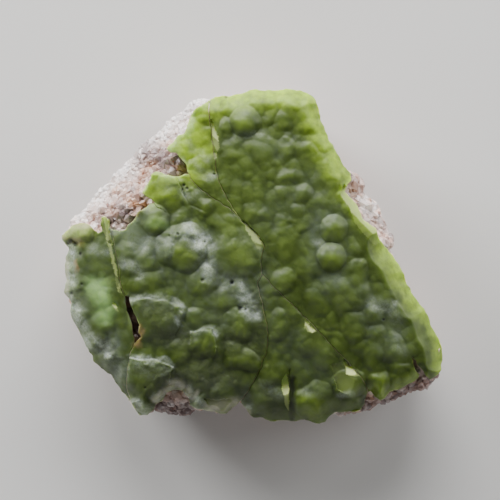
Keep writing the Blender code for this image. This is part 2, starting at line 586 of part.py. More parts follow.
def add_crystal(mesh, root, axis, radius, length, twist):
    """A six-sided quartz crystal with a pointed end, its foot sunk below the root point."""
    turn = axis.to_track_quat("Z", "Y").to_matrix().to_4x4() @ Matrix.Rotation(twist, 4, "Z")
    place = Matrix.Translation(root) @ turn @ Matrix.Diagonal((radius, radius, length, 1))
    rings = []
    for height in (-CRYSTAL_SUNK, CRYSTAL_SHOULDER):
        ring = []
        for i in range(6):
            angle = math.pi * i / 3
            ring.append(mesh.verts.new(place @ Vector((math.cos(angle), math.sin(angle), height))))
        rings.append(ring)
    tip = mesh.verts.new(place @ Vector((0, 0, 1)))
    wall(mesh, rings[1], rings[0])
    mesh.faces.new(rings[0][::-1])
    for i in range(6):
        mesh.faces.new((rings[1][i], rings[1][(i + 1) % 6], tip))


def crystals(rock, outlines):
    """Every quartz crystal of the bare rock, rooted on its surface."""
    tree = BVHTree.FromBMesh(rock)
    chance = random.Random(CRYSTAL_SEED)
    mesh = bmesh.new()
    placed = []

    def grow(x, y, radius, length, lean):
        root, normal = tree.ray_cast(metres([(x, y)], [CROWN_HEIGHT])[0], Vector((0, 0, -1)))[:2]
        tilt = Vector([chance.uniform(-lean, lean) for _ in range(3)])
        axis = (normal + tilt).normalized()
        twist = chance.uniform(0, math.pi)
        add_crystal(mesh, root, axis, radius * MILLIMETRE, length * MILLIMETRE, twist)
        placed.append((x, y, radius))

    for x, y, radius, length in BIG_CRYSTALS:
        grow(x, y, radius, length, BIG_CRYSTAL_LEAN)
    rim = line_array(ROCK_RIM)
    low, high = rim.min(0), rim.max(0)
    for _ in range(CRYSTAL_TRIES):
        x, y = (chance.uniform(a, b) for a, b in zip(low, high))
        radius = chance.uniform(*CRYSTAL_RADII)
        spot = np.array([[x, y]])
        if not inside(spot, rim)[0] or along_line(spot, rim, closed=True)[0][0] < radius:
            continue
        clear = radius + CRYSTAL_CLEARANCE
        if any(inside(spot, o)[0] or along_line(spot, o, closed=True)[0][0] < clear for o in outlines):
            continue
        if any(math.hypot(x - a, y - b) < (radius + c) * CRYSTAL_CROWDING for a, b, c in placed):
            continue
        grow(x, y, radius, radius * chance.uniform(*CRYSTAL_LENGTHS), CRYSTAL_LEAN)
    return mesh


def matrix_rock(crust, outlines, material):
    """The whole rock: its block with the crystals fused to it."""
    block = matrix_block(crust, outlines)
    grown = crystals(block, outlines)
    rock = add_object("matrix", block, material, ROCK_CREASE)
    cluster = add_object("matrix_crystals", grown, material, ROCK_CREASE)
    cluster.hide_render = True
    cluster.display_type = "WIRE"
    union = rock.modifiers.new("crystals", "BOOLEAN")
    union.operation = "UNION"
    union.solver = "EXACT"
    union.use_self = True
    union.object = cluster
    return rock


def joined(objects):
    """The meshes of several objects as one."""
    mesh = bmesh.new()
    for obj in objects:
        mesh.from_mesh(obj.data)
    return mesh


def main():
    """Builds every piece."""
    for obj in list(bpy.data.objects):
        bpy.data.objects.remove(obj)
    crust = principled("phosphohedyphane crust", CRUST_COLOUR, 0.42)
    rock = principled("quartz matrix", ROCK_COLOUR, 0.6)
    left_crack_right = LEFT_CRACK_UPPER[1:] + GAPE_RIGHT + LEFT_CRACK_LOWER
    pieces = {
        "crust_left": (LEFT_CRACK_UPPER + GAPE_LEFT + LEFT_CRACK_LOWER + LEFT_RIM + LEFT_BREAK, 0.0),
        "crust_centre": (
            left_crack_right + CENTRE_RIM + BOTTOM_CRACK[:0:-1] + DIAGONAL_MIDDLE[::-1]
            + WEDGE_CRACK[1:] + CENTRE_BREAK, 0.3),
        "crust_wedge": (WEDGE_CRACK[::-1] + DIAGONAL_UPPER[-2::-1] + WEDGE_BREAK, 0.2),
        "crust_right": (
            DIAGONAL_UPPER[::-1] + TOP_RIM + SHOULDER_RIM + RIGHT_BREAK + RIGHT_RIM + RIGHT_NOTCH
            + RIGHT_FOOT_RIM + DIAGONAL_LOWER[:0:-1] + DIAGONAL_MIDDLE[:0:-1], -0.3),
        "crust_bottom": (DIAGONAL_LOWER + BOTTOM_RIM + BOTTOM_CRACK[:0:-1], 0.1),
    }
    grown = [crust_piece(name, outline, lift, crust) for name, (outline, lift) in pieces.items()]
    outlines = [line_array(outline) for outline, lift in pieces.values()]
    matrix_rock(joined(grown), outlines, rock)


main()
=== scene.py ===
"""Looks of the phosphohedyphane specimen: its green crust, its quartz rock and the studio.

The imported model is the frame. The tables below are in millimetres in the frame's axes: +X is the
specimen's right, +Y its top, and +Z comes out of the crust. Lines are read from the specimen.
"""

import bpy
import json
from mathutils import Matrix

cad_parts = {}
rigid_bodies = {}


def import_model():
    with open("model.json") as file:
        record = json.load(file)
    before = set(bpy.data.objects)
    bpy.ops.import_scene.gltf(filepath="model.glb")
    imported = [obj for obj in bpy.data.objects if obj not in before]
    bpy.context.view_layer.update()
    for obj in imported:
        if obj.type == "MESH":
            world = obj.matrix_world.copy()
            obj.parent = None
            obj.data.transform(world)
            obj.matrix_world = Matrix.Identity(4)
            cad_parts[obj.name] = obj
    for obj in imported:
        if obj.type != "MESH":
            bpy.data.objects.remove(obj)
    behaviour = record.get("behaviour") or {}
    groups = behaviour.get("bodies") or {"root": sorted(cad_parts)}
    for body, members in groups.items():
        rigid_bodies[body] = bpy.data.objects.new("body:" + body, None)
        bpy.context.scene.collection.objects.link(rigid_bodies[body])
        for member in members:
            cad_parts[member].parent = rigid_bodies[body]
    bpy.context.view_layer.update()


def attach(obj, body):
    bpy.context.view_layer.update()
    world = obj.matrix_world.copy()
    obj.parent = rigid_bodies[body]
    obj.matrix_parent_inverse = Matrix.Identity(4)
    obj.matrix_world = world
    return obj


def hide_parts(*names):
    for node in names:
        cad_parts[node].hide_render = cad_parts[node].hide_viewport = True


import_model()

import json
import math

import bmesh
import bpy
import numpy as np
from bpy.props import FloatProperty, FloatVectorProperty, IntProperty, PointerProperty
from mathutils import Vector
from mathutils.geometry import delaunay_2d_cdt

bl_info = {
    "name": "Phosphohedyphane specimen",
    "version": (1, 0, 0),
    "blender": (4, 5, 0),
    "location": "View3D > Sidebar > Specimen",
    "description": "Builds a cracked botryoidal crust on quartz rock, with its finishes and studio",
    "category": "Object",
}

MILLIMETRE = 0.001

# The crust's general form
CROWN_HEIGHT = 27.0
CROWN_X, CROWN_Y = 2.0, 7.0
BOW_ACROSS = 0.0042
BOW_ALONG = 0.0040
CRUST_THICKNESS = 3.6
EDGE_THICKNESS = 1.8
THINNEST_CRUST = 1.2
LUMP_BLEND = 3
LUMP_SPREAD = 1.14
LUMP_RISE = 0.96
# How far below its top each lump's painted glow of light shining through sits
GLOW_OFFSET = 0.26
FOOT_DEPTH = 0.45
WALL_ROWS = 8
EDGE_ROUNDING = 0.05
# Share of painted sheen on the sides that face the key light, mixed in with the white frost
SHEEN_ON_LIT_SIDES = 0.09
PALE_WALLS = 0.1

# The rock's general form
ROCK_RISE = 1.75
BASE_X, BASE_Y = 2.0, 0.0
BASE_INSET = 0.13
WALL_TUCK = 1.5
BLOCK_SIZE = 7.5
BLOCK_STEP = 1.0
BLOCK_SLANT = 2.6
SIDE_ROWS = 28
BARE_ABOVE = 1.2

# How often the triangles of a patch are split in four, and the steps of the undersides
SPLITS = 3
CRUST_UNDER_STEP = 2.4
ROCK_UNDER_STEP = 3.0

# Ways that lines are bent by chance: size, amount, seed
BENT = (1.6, 0.18, 51)
GROWN_BROADLY = (3.6, 0.85, 55)
GROWN_FINELY = (1.7, 0.28, 58)
GLOW_BENT = (3.6, 0.75, 55)
FRAYED = (0.9, 0.22, 57)
CHIPPED = (0.8, 0.12, 71)
EDGE_BENT = (0.9, 0.16, 100)

# Roughness by chance: size, height, seed
ROUGH_RELIEF = [(1.3, 0.3, 63), (0.5, 0.14, 64)]
GRAIN_RELIEF = [(0.7, 1.6, 61), (0.3, 1, 62)]
BARE_RELIEF = [(1.8, 0.35, 81), (0.8, 0.15, 82)]
SIDE_RELIEF = [(2.4, 0.5, 83), (1, 0.25, 84)]

# Tables of chance: their lengths and the steps that pick from them
NOISE_TABLE = 4096
BLOCK_TABLE = 997
CELL_STEPS = (73, 179, 283)

# Cracks that run right through the crust, as centre lines
LEFT_CRACK_UPPER = [
    (-28.5, 7.4), (-28.1, 5.8), (-27.7, 3.4), (-27.1, 0.6), (-26.7, -1.8), (-26.5, -4.2), (-25.9, -6.4),
    (-25.3, -7.6),
]
LEFT_CRACK_LOWER = [
    (-23.4, -17.2), (-24.1, -18.8), (-24.7, -21), (-25.1, -23), (-25.3, -25), (-25.1, -27),
    (-24.5, -29),
]
WEDGE_CRACK = [
    (-2.5, 7.6), (-4.5, 9.6), (-6.5, 10.8), (-8.5, 12), (-10.3, 13.4), (-11.9, 15), (-12.7, 16.4),
]
DIAGONAL_UPPER = [
    (-8.5, 31.4), (-8.7, 29.4), (-8.5, 27.4), (-8.1, 25), (-7.9, 22.4), (-7.5, 19.8), (-7.3, 17.8),
    (-6.7, 15.4), (-5.9, 13.2), (-4.9, 11.4), (-3.7, 9.4), (-2.5, 7.6),
]
DIAGONAL_MIDDLE = [
    (-2.5, 7.6), (-1.1, 6.2), (0.5, 4.8), (1.7, 3.4), (2.3, 2), (1.9, 0.2), (1.7, -1.6), (1.9, -3.2),
]
DIAGONAL_LOWER = [
    (1.9, -3.2), (3.1, -4.6), (4.5, -6.2), (6.1, -7.8), (7.9, -9.4), (9.5, -11), (11.1, -12.6),
    (12.7, -14.4), (14.5, -16.2), (16.3, -18.2), (18.1, -20), (19.9, -21.8), (21.5, -23.8),
    (22.5, -25.6), (23.2, -27),
]
BOTTOM_CRACK = [
    (1.9, -3.2), (0.9, -5), (1.3, -7), (1.9, -9.2), (2.5, -11.6), (2.9, -14.2), (3.1, -17),
    (2.5, -19.6), (1.5, -22.2), (0.3, -24.6), (-1.1, -26.8), (-2.5, -28.8),
]

# The two sides of the left crack where it gapes
GAPE_LEFT = [(-25.3, -9.2), (-24.7, -11.2), (-24.1, -13.0), (-23.8, -15.0), (-23.4, -16.6)]
GAPE_RIGHT = [
    (-24.6, -7.8), (-24.5, -9), (-23.7, -10.8), (-23.1, -12.2), (-22.6, -13.4), (-22.7, -14.6),
    (-22.2, -15.8), (-23, -16.7),
]

# Outer edges of the crust: rims are grown or worn round, breaks stop on bare rock
LEFT_RIM = [
    (-25.5, -27.8), (-26.7, -26.4), (-27.7, -24.8), (-28.5, -23.6), (-29.7, -22.8), (-31.1, -21.8),
    (-31.9, -20.8), (-32.5, -19.4), (-33.3, -18), (-34.1, -16.4), (-34.7, -15), (-35.7, -13.4),
    (-36.3, -12.2), (-36.7, -10.8), (-36.3, -9.4), (-36.9, -8.4), (-37.9, -7), (-37.7, -5.6),
    (-37.3, -4.6), (-37.7, -3), (-37.7, -1.4), (-37.3, 0.2), (-36.9, 1.4), (-37.3, 2.4), (-38.1, 3.6),
    (-38.3, 4.2),
]
LEFT_BREAK = [
    (-37.3, 5.2), (-36.1, 6.2), (-34.5, 7), (-32.9, 6.8), (-31.7, 5.8), (-30.7, 4.8), (-29.9, 5.2),
    (-30.3, 6.6), (-30.1, 8), (-29.3, 8.2),
]
CENTRE_BREAK = [
    (-13.3, 16.6), (-14.7, 16), (-16.3, 16.2), (-17.9, 16.6), (-19.1, 17), (-19.9, 16.6), (-20.3, 15.4),
    (-21.1, 14.2), (-21.9, 12.8), (-20.5, 11.6), (-19.5, 10.8), (-20.5, 10.4), (-21.7, 9.6),
    (-22.5, 9.4), (-23.1, 8.8), (-23.5, 7.2), (-24.7, 6.4), (-25.3, 5.6), (-26.5, 5.2), (-27.7, 5.4),
]
CENTRE_RIM = [
    (-23.5, -30.8), (-22.5, -31.8), (-21.1, -31.8), (-19.9, -30.8), (-19.3, -29.4), (-17.9, -28.6),
    (-17.1, -27.2), (-15.7, -26.4), (-14.1, -26.8), (-12.9, -28.2), (-12.5, -29.6), (-11.1, -30.4),
    (-9.3, -30.8), (-7.7, -30.8), (-6.5, -31.4), (-5.3, -31.4), (-4.1, -30.4), (-2.9, -29.4),
]
WEDGE_BREAK = [
    (-9.3, 30.8), (-10.5, 30), (-11.9, 29), (-12.7, 27.4), (-13.1, 25.8), (-13.7, 24.6), (-14.9, 24),
    (-15.5, 23), (-16.7, 22.2), (-17.1, 21.4), (-16.3, 20.6), (-15.1, 20.6), (-14.5, 19.8),
    (-13.5, 18.8), (-13.1, 17.6),
]
TOP_RIM = [
    (-7.5, 31.8), (-6.3, 32.1), (-4.5, 32), (-2.9, 32.4), (-1.9, 32.6), (-0.7, 33.2), (0.7, 33.4),
    (3.1, 33.2), (5.1, 33.3), (6.5, 33.6), (7.9, 33.4), (9.5, 33.1), (11.1, 32.6), (12.1, 32),
    (12.7, 31),
]
SHOULDER_RIM = [
    (13.1, 29.8), (13.5, 28.8), (13.5, 27.6), (14.3, 26), (14.7, 24.6), (15.5, 23), (16.1, 22.2),
    (16.7, 21), (17.5, 19.4), (18.5, 18), (19.7, 16.6),
]
RIGHT_BREAK = [
    (19.5, 15.2), (18.7, 13.8), (18.3, 13), (19.3, 11.8), (20.5, 10.6), (21.3, 9), (21.7, 7.8),
    (22.9, 6.8), (24.3, 6), (24.9, 4.8), (25.5, 3.4),
]
RIGHT_RIM = [
    (26.5, 2), (27.7, 0.8), (28.7, -0.6), (29.9, -2.6), (30.7, -4.8), (31.9, -7), (33.1, -8.6),
    (33.7, -9.6), (34.5, -10.4), (35.5, -12.6), (36.5, -14.8), (37.5, -16.6), (38.1, -18.4),
    (38.3, -20.8), (37.9, -22.2), (37.5, -23.4), (36.7, -24), (35.7, -24.6),
]
RIGHT_NOTCH = [
    (34.9, -24), (34.1, -22.8), (32.9, -21.4), (31.7, -19.8), (32.1, -21.4), (32.9, -22.8),
    (33.5, -23.6),
]
RIGHT_FOOT_RIM = [
    (33.3, -24.2), (31.9, -25.2), (30.5, -26), (29.1, -26.6), (27.5, -27.2), (26.5, -28.4),
    (25.5, -28.8), (24.3, -28), (23.7, -26.8),
]
BOTTOM_RIM = [
    (22.7, -28.2), (22.5, -29.6), (21.7, -30.6), (20.3, -31), (18.5, -31), (16.5, -31.2), (15.3, -32),
    (14.5, -33.2), (13.5, -33.6), (12.1, -33.2), (10.5, -32.6), (8.5, -33), (6.1, -32.8), (3.5, -33),
    (2.1, -32.2), (0.1, -32.2), (-1.1, -31), (-2.1, -29.4),
]

# Each piece of crust: its outline and how far it is raised or sunk
CRUST_PIECES = {
    "crust_left": (LEFT_CRACK_UPPER + GAPE_LEFT + LEFT_CRACK_LOWER + LEFT_RIM + LEFT_BREAK, 0.0),
    "crust_centre": (
        LEFT_CRACK_UPPER[1:] + GAPE_RIGHT + LEFT_CRACK_LOWER + CENTRE_RIM + BOTTOM_CRACK[:0:-1]
        + DIAGONAL_MIDDLE[::-1] + WEDGE_CRACK[1:] + CENTRE_BREAK, 0.12),
    "crust_wedge": (WEDGE_CRACK[::-1] + DIAGONAL_UPPER[-2::-1] + WEDGE_BREAK, 0.1),
    "crust_right": (
        DIAGONAL_UPPER[::-1] + TOP_RIM + SHOULDER_RIM + RIGHT_BREAK + RIGHT_RIM + RIGHT_NOTCH
        + RIGHT_FOOT_RIM + DIAGONAL_LOWER[:0:-1] + DIAGONAL_MIDDLE[:0:-1], -0.05),
    "crust_bottom": (DIAGONAL_LOWER + BOTTOM_RIM + BOTTOM_CRACK[:0:-1], -0.05),
}

# How the crust turns down towards its rims: line, width of the turn, drop, power of the curve
TURN_DOWNS = [
    (TOP_RIM, 3.8, 2.2, 2.3), (SHOULDER_RIM, 3.6, 2.8, 1.9), (RIGHT_RIM[:14], 3.7, 5.2, 1.1),
    (RIGHT_RIM[13:], 2.6, 2.6, 1.6), (RIGHT_FOOT_RIM, 3.4, 3, 2), (BOTTOM_RIM, 4.4, 4.2, 2),
    (CENTRE_RIM, 3.8, 3.6, 2), (LEFT_RIM, 4.2, 3.8, 1.8),
]

# Lumps of the crust: x, y, radius, height, and how round their sides are (low is steep). The
# spheres stay round and the others grew out of round.
SPHERES = [(-1.5, 27.0, 3.15, 2.0, 0.85), (15.7, 0.0, 3.0, 2.0, 0.85), (16.1, 5.6, 2.9, 1.5, 0.95)]
LUMPS = [
    # right piece, from the top down
    (9.1, 29.6, 3.5, 0.76, 1.5), (6.1, 27, 2.1, 0.6, 1.3), (3.5, 28, 1.6, 0.32, 1.3),
    (11.1, 26.6, 1.9, 0.51, 1.3), (6.3, 21.2, 2.1, 0.68, 1.2), (9.9, 21, 2.1, 0.51, 1.3),
    (1.9, 21.4, 2.9, 0.51, 1.5), (-3.7, 21.4, 2.2, 0.43, 1.5), (6.7, 16.2, 2.5, 0.6, 1.3),
    (10.1, 12.2, 2, 0.6, 1.2), (5.7, 12.2, 1.9, 0.32, 1.3), (9.5, 9.2, 1.9, 0.32, 1.3),
    (0.5, 8.8, 2.1, 0.51, 1.3), (9.5, 6.6, 1.8, 0.51, 1.2), (5.9, 7, 1.9, 0.43, 1.3),
    (12.5, 10.4, 2.1, 0.43, 1.3), (6.9, 2.8, 3.4, 0.76, 1.4), (6.1, -4.4, 2.8, 0.94, 1.2),
    (10.5, -2.6, 2.9, 0.51, 1.4), (18.5, -6.6, 4.4, 1.02, 1.3), (20.9, -3.4, 2.5, 0.85, 1.2),
    (19.9, 2, 1.9, 0.43, 1.3), (14.5, 11.4, 3.1, 0.51, 1.5), (15.1, 16.2, 3, 0.51, 1.5),
    (13.1, -8.6, 2.8, 0.6, 1.3), (23.9, -11, 2.8, 0.68, 1.3), (26.7, -8, 2.2, 0.6, 1.3),
    (28.9, -11, 2, 0.51, 1.2), (19.9, -14, 2.9, 0.6, 1.3), (15.5, -13, 2.1, 0.43, 1.3),
    (24.7, -16, 2.4, 0.6, 1.3), (28.7, -18.6, 3.1, 0.94, 1.2), (32.1, -17.4, 2, 0.51, 1.2),
    (31.7, -15, 1.5, 0.39, 1.2), (23.9, -19.8, 2.2, 0.68, 1.2), (22.1, -18.4, 1.8, 0.39, 1.2),
    (29.3, -22.4, 2, 0.6, 1.3), (25.1, -25.6, 2.6, 1.27, 1.2), (28.9, -24.8, 1.9, 0.6, 1.2),
    (31.3, -24.4, 1.6, 0.39, 1.2), (16.7, -16.8, 2.2, 0.51, 1.3),
    # centre piece
    (-19.3, 7.2, 2.9, 1.47, 1), (-17.3, 13, 3.1, 0.68, 1.3), (-13.9, 1.8, 4.4, 1.7, 1),
    (-8.9, 9.8, 2, 0.68, 1.2), (-3.3, 0.8, 5, 1.5, 1.2), (-4.9, 5.8, 2.6, 0.51, 1.4),
    (-13.9, 8.4, 2, 0.51, 1.3), (-24.5, 1, 1.9, 0.51, 1.3), (-21.1, -1, 2.2, 0.68, 1.3),
    (-20.1, -5, 2.4, 0.5, 1.3), (-23.1, -6, 1.8, 0.34, 1.3), (-24.5, -2.2, 1.8, 0.26, 1.3),
    (-19.5, -11.8, 4.8, 1.02, 1.2), (-14.9, -10.4, 2, 0.68, 1.2), (-9.9, -4.6, 3.1, 0.85, 1.3),
    (-11.3, -12, 2.3, 0.76, 1.2), (-6.1, -8.6, 3.1, 0.68, 1.3), (-2.5, -13.4, 3.4, 1.19, 1.2),
    (-9.3, -17, 3.3, 1.19, 1.2), (-20.5, -23.6, 4.6, 0.88, 1.2), (-14.1, -18.6, 2.6, 0.6, 1.3),
    (-3.5, -19.6, 2.6, 0.51, 1.3), (-0.1, -21, 1.9, 0.46, 1.2), (-10.5, -23.6, 3.1, 0.51, 1.4),
    (-5.3, -27, 3, 0.68, 1.3), (-21.9, -29.4, 2, 0.68, 1.2), (-6.1, -29.8, 1.8, 0.32, 1.3),
    (-15.3, -24.6, 2, 0.39, 1.2), (-1, -20.9, 2.3, 1, 0.9),
    # left piece
    (-34.1, 4.9, 2.3, 1.45, 0.9), (-37, 4.2, 1.2, 0.5, 1.2), (-35.6, 5.9, 1, 0.6, 1.1),
    (-32.6, 5.8, 0.9, 0.5, 1.1), (-30.9, -1, 3.2, 0.55, 1.4), (-35.5, -5.6, 2.2, 0.68, 1.2),
    (-34.9, -8.6, 2, 0.43, 1.3), (-30.1, -7.8, 4, 0.61, 1.5), (-34.9, -11.6, 2.4, 0.51, 1.3),
    (-30.9, -13.6, 3.1, 0.6, 1.3), (-31.5, -17, 2.2, 0.76, 1.2), (-28.1, -20.6, 2.6, 0.51, 1.3),
    (-29.7, 2, 1.6, 0.32, 1.3), (-36.1, -1, 2, 0.32, 1.3),
    # wedge piece
    (-11.3, 24.4, 2.6, 0.6, 1.3), (-10.5, 28.4, 2.2, 0.51, 1.3), (-11.3, 18.4, 2, 0.51, 1.3),
    (-8.1, 15.4, 1.8, 0.32, 1.3), (-13.9, 21.8, 2, 0.32, 1.3),
    # bottom piece
    (5.1, -13.6, 2.9, 0.85, 1.2), (7.5, -11.6, 2, 0.32, 1.3), (11.9, -17, 3.1, 0.68, 1.3),
    (13.9, -19.4, 2.6, 0.76, 1.3), (3.9, -23, 2.5, 0.68, 1.3), (2.5, -28.6, 3.1, 0.51, 1.3),
    (11.9, -28.4, 3.7, 1.35, 1), (18.9, -25, 3.3, 1.47, 1), (9.5, -23, 2.6, 0.51, 1.3),
    (19.5, -29, 2.2, 0.68, 1.2), (16.3, -28.8, 2, 0.32, 1.3),
    # along the top and right rims
    (3.9, 30.4, 2.3, 0.6, 1.1), (6.8, 31.2, 1.9, 0.5, 1.1), (11.2, 29.8, 2, 0.6, 1.1),
    (12.3, 26.2, 1.7, 0.5, 1.1), (13.6, 22.6, 1.7, 0.5, 1.1), (-4.6, 30.2, 1.9, 0.45, 1.1),
    (-5.2, 26.2, 1.8, 0.45, 1.1), (15.9, 18.6, 1.9, 0.5, 1.1), (1, 30.6, 1.7, 0.45, 1.1),
]

# The small lumps between the large ones
SMALL_LUMP_SEED = 4
SMALL_LUMP_SPACING = 2.1
SMALL_LUMP_RADII = (0.9, 2.0)
SMALL_LUMP_HEIGHTS = (0.1, 0.34)
SMALL_LUMP_BLEND = 2.2

# Chips with flat faces: outline, direction they face, slope in degrees, depth at the middle, and
# how pale the fresh surface is
CHIPS = [
    ([(-8.3, 27.6), (-7.5, 25.6), (-6.8, 23.8), (-6.5, 21.8), (-7.1, 20.9),
     (-7.9, 22.6)], 60, 22, 0.1, 0.6),
    ([(-7.7, 20.7), (-7.1, 20.6), (-7.2, 19.4), (-7.6, 19.2)], 20, 30, 0.12, 0.8),
    ([(-1.9, 7.2), (-0.1, 5.7), (1.3, 4.1), (1.9, 2.8), (1.5, 1.2), (0.5, 2.4), (-0.3, 4),
     (-1.3, 5.6)], 48, 30, 0.15, 0.35),
    ([(10.4, -12.3), (11.6, -13.8), (12.8, -14.8), (11.1, -14.9), (10.3, -14)], 60, 20, 0.1, 0.9),
    ([(18.1, -20.3), (19.4, -21.5), (21.3, -23.7), (19.8, -23.6), (18.7, -23.2),
     (18.4, -21.8)], 70, 30, 0.42, 1),
    ([(15.6, -21.4), (17.9, -20.8), (18.8, -23.4), (20.8, -24.2), (21.4, -26.2), (19.4, -27.4),
     (16.8, -26.4)], 240, 14, 0.15, 0.12),
    ([(6.7, -23), (7.2, -25), (7.3, -30.6), (6.5, -29.6), (6.3, -27.6), (5.8, -26.2),
     (5.8, -24.6)], 120, 16, 0.3, 1),
    ([(-27.9, -9), (-27.2, -9.3), (-26.6, -10.9), (-27.3, -10.7)], 60, 24, 0.08, 0.8),
    ([(-30.4, 8.4), (-29, 8.4), (-28.5, 5.6), (-27.9, 2.4), (-28.5, 2.6), (-29.4, 4.4),
     (-30, 6.4)], 10, 30, 0.1, 0.55),
    ([(-28.4, 3.6), (-27.7, 0.6), (-27, -2.4), (-26, -7.2), (-26.6, -7), (-27.5, -3), (-28.3, 0.6),
     (-28.9, 3.2)], 195, 5, 0.05, 0.4),
    ([(17.4, 12.6), (18.2, 14.4), (21, 10.6), (21.9, 7.6), (25, 6), (25.8, 3), (24.4, 2.4),
     (22.3, 4.4), (20.5, 6.4), (19.3, 9.6)], 35, 34, 0.35, 0.45),
    ([(-9.6, -28.2), (-7.4, -28.5), (-4.6, -28.2), (-2.4, -29.2), (-4, -31), (-6.4, -31.8),
     (-8.2, -31)], 250, 24, 0.15, 0.15),
]

# Narrow ridges and grooves of the crust: line, width, height
RIDGES = [
    ([(7.35, -22.4), (7.4, -27), (7.5, -33)], 0.24, -0.3), ([(8.1, -24.4), (8.2, -33)], 1, -0.6),
    ([(-15, 15.8), (-12.6, 10.4), (-9.4, 9)], 0.4, -0.12),
    ([(-37.6, 2.6), (-36.2, 3.1), (-35, 2.4)], 0.8, -0.7),
    ([(-20, -29), (-16.6, -26), (-13, -27.6)], 1, 0.5),
    ([(-16.9, 0.2), (-16.4, 3.2), (-14, 4.9), (-11.2, 4.4)], 1.2, 0.4),
]

# Plates that end in a step: the step's line, the plate's other corners, the step's height and how
# far the plate runs before it has sunk back
PLATES = [
    ([(-24.4, -8.2), (-21.5, -8), (-16.1, -8.6), (-14.5, -9.4), (-13.7, -11),
     (-14.3, -13)], [(-16, -17), (-23.4, -16.6)], 0.4, 6),
    ([(-24.2, -20), (-20.5, -20.2), (-17.5, -20.8), (-15.7, -21.8), (-16.1, -23.2)], [(-17.5, -26),
     (-25, -26)], 0.6, 4.5),
    ([(-12.5, -14.8), (-9.5, -14), (-7.9, -14), (-7.3, -15.6), (-7.1, -17.6)], [(-8, -20.5),
     (-12.5, -19)], 0.6, 4),
    ([(-21.9, 12.9), (-19.9, 16.7), (-15.6, 16.2)], [(-11.6, 9), (-14.6, 7.6), (-20, 10.6)], 0.7, 8),
]

# Small black pits: x, y, radius
PITS = [
    (-36.4, 3.1, 0.75), (-35.4, 2.6, 0.7), (-36.9, 2.8, 0.5), (-34.3, 0.6, 0.4), (-36.1, -7.2, 0.4),
    (-5.3, 31.8, 0.4), (-13.6, 14.3, 0.35), (-12.9, 13.6, 0.3), (-13.9, 13.4, 0.25), (-14.8, 4.6, 0.35),
    (-9.9, -4.6, 0.4), (-4.1, -5, 0.5), (-2.5, -10.2, 0.5), (-1.4, -10.4, 0.3), (-16.5, 4.2, 0.25),
    (-34, -5.4, 0.3), (-9.4, 3, 0.25), (-21.4, -26, 0.25), (-7.6, 16.4, 0.25), (26, -12.4, 0.3),
]

# Strokes of colour on the crust: line, width, strength
# Frost strokes: white bloom, and painted highlights along the lit crests of the plates
FROST_AND_HIGHLIGHTS = [
    ([(-12.5, 4.6), (-9.5, 2.6)], 3.2, 1.15), ([(-9.2, 0), (-8.6, -3)], 2.6, 0.7),
    ([(-5.5, -4.6), (-3, -5.8), (-1, -9), (0.4, -12)], 2.2, 0.85),
    # The next three strokes are painted highlights on the crests of the three plates
    ([(-24.3, -8.3), (-21.5, -8), (-16.3, -8.6), (-14.7, -9.6), (-14, -11.2), (-14.4, -13)], 1.2, 0.8),
    ([(-24.3, -20), (-20.5, -20.1), (-17.5, -20.8), (-15.8, -21.6)], 1, 0.9),
    ([(-12.6, -14.9), (-9.7, -14), (-7.9, -14.1), (-7.3, -15.6)], 0.9, 0.7),
    ([(-33.6, -16.2), (-30.8, -17.4), (-28.4, -20)], 2.5, 1),
    ([(-23.4, -29.6), (-21.6, -31.2)], 2.4, 1.2),
    ([(-36.6, 2), (-36.4, -8), (-35.2, -12), (-33.6, -17)], 2.8, 0.85),
    ([(-24, 3), (-19, 2.4)], 3, 0.35), ([(-23.6, -21.4), (-18, -22.4)], 3, 0.3),
    ([(-16.8, 0.6), (-16.2, 3.2), (-14, 4.7)], 1.4, 0.6), ([(-32, 2), (-29, 1)], 2.4, 0.4),
    ([(-18.6, -28), (-16.2, -26), (-13.6, -26.2), (-12.4, -28.4)], 1.7, 1.15),
    ([(-12.4, -29.4), (-10.6, -29.8)], 1, 0.7), ([(24, -9), (27.6, -10.6), (28.6, -13.6)], 2.2, 0.6),
    ([(-17, 14), (-12, 12)], 2.6, 0.35), ([(-27.8, -18.6), (-26.6, -23)], 2.6, 0.75),
    ([(-11.6, 17.6), (-8.6, 16)], 1.6, 0.4), (WEDGE_BREAK, 1.8, 0.5), (CENTRE_BREAK, 1.2, 0.4),
    ([(-24.6, -1), (-22, -3.4)], 2.2, 0.5), ([(3, -25), (5, -27.6)], 2.2, 0.4),
    ([(17, -27.6), (19.6, -27.6)], 1.4, 0.6), ([(10.4, -26.4), (13.4, -27.2)], 1.6, 0.3),
    ([(-11.6, -28.4), (-9, -30), (-6.4, -29.2)], 1.7, 0.8), ([(-1.1, -29.8), (-0.3, -29.8)], 0.9, 1.3),
    ([(28.6, -16.4), (30, -19)], 1.6, 0.3), ([(12.6, 3), (14, 3.2)], 1.6, 0.4),
    ([(-3, 24), (1.8, 24)], 1.4, 0.35), ([(-12.4, 22.4), (-9, 19.6)], 1.8, 0.4),
]
# Grey-green cloudiness, which outside the lumps' glow also paints a sheen on their upper sides
MISTY_AND_SHEEN = [
    ([(-22, 4), (-2, -6)], 11, 1), ([(-20, -12), (-4, -12)], 8, 0.7), ([(14, 8), (16, -4)], 7, 0.9),
    ([(20, -6), (28, -18)], 6, 0.7), ([(-2, 24), (-1.6, 30)], 5, 0.4), ([(-31, 2), (-31, -12)], 6, 0.6),
    ([(-12, -26), (0, -28)], 5, 0.45), ([(5, -14), (14, -24)], 6, 0.5), ([(4, 8), (10, 14)], 6, 0.45),
    ([(6, 21), (2, 22)], 4, 0.5), ([(-28, -16), (-27, -26)], 5, 1), ([(-34, -4), (-32, -18)], 4, 0.8),
]
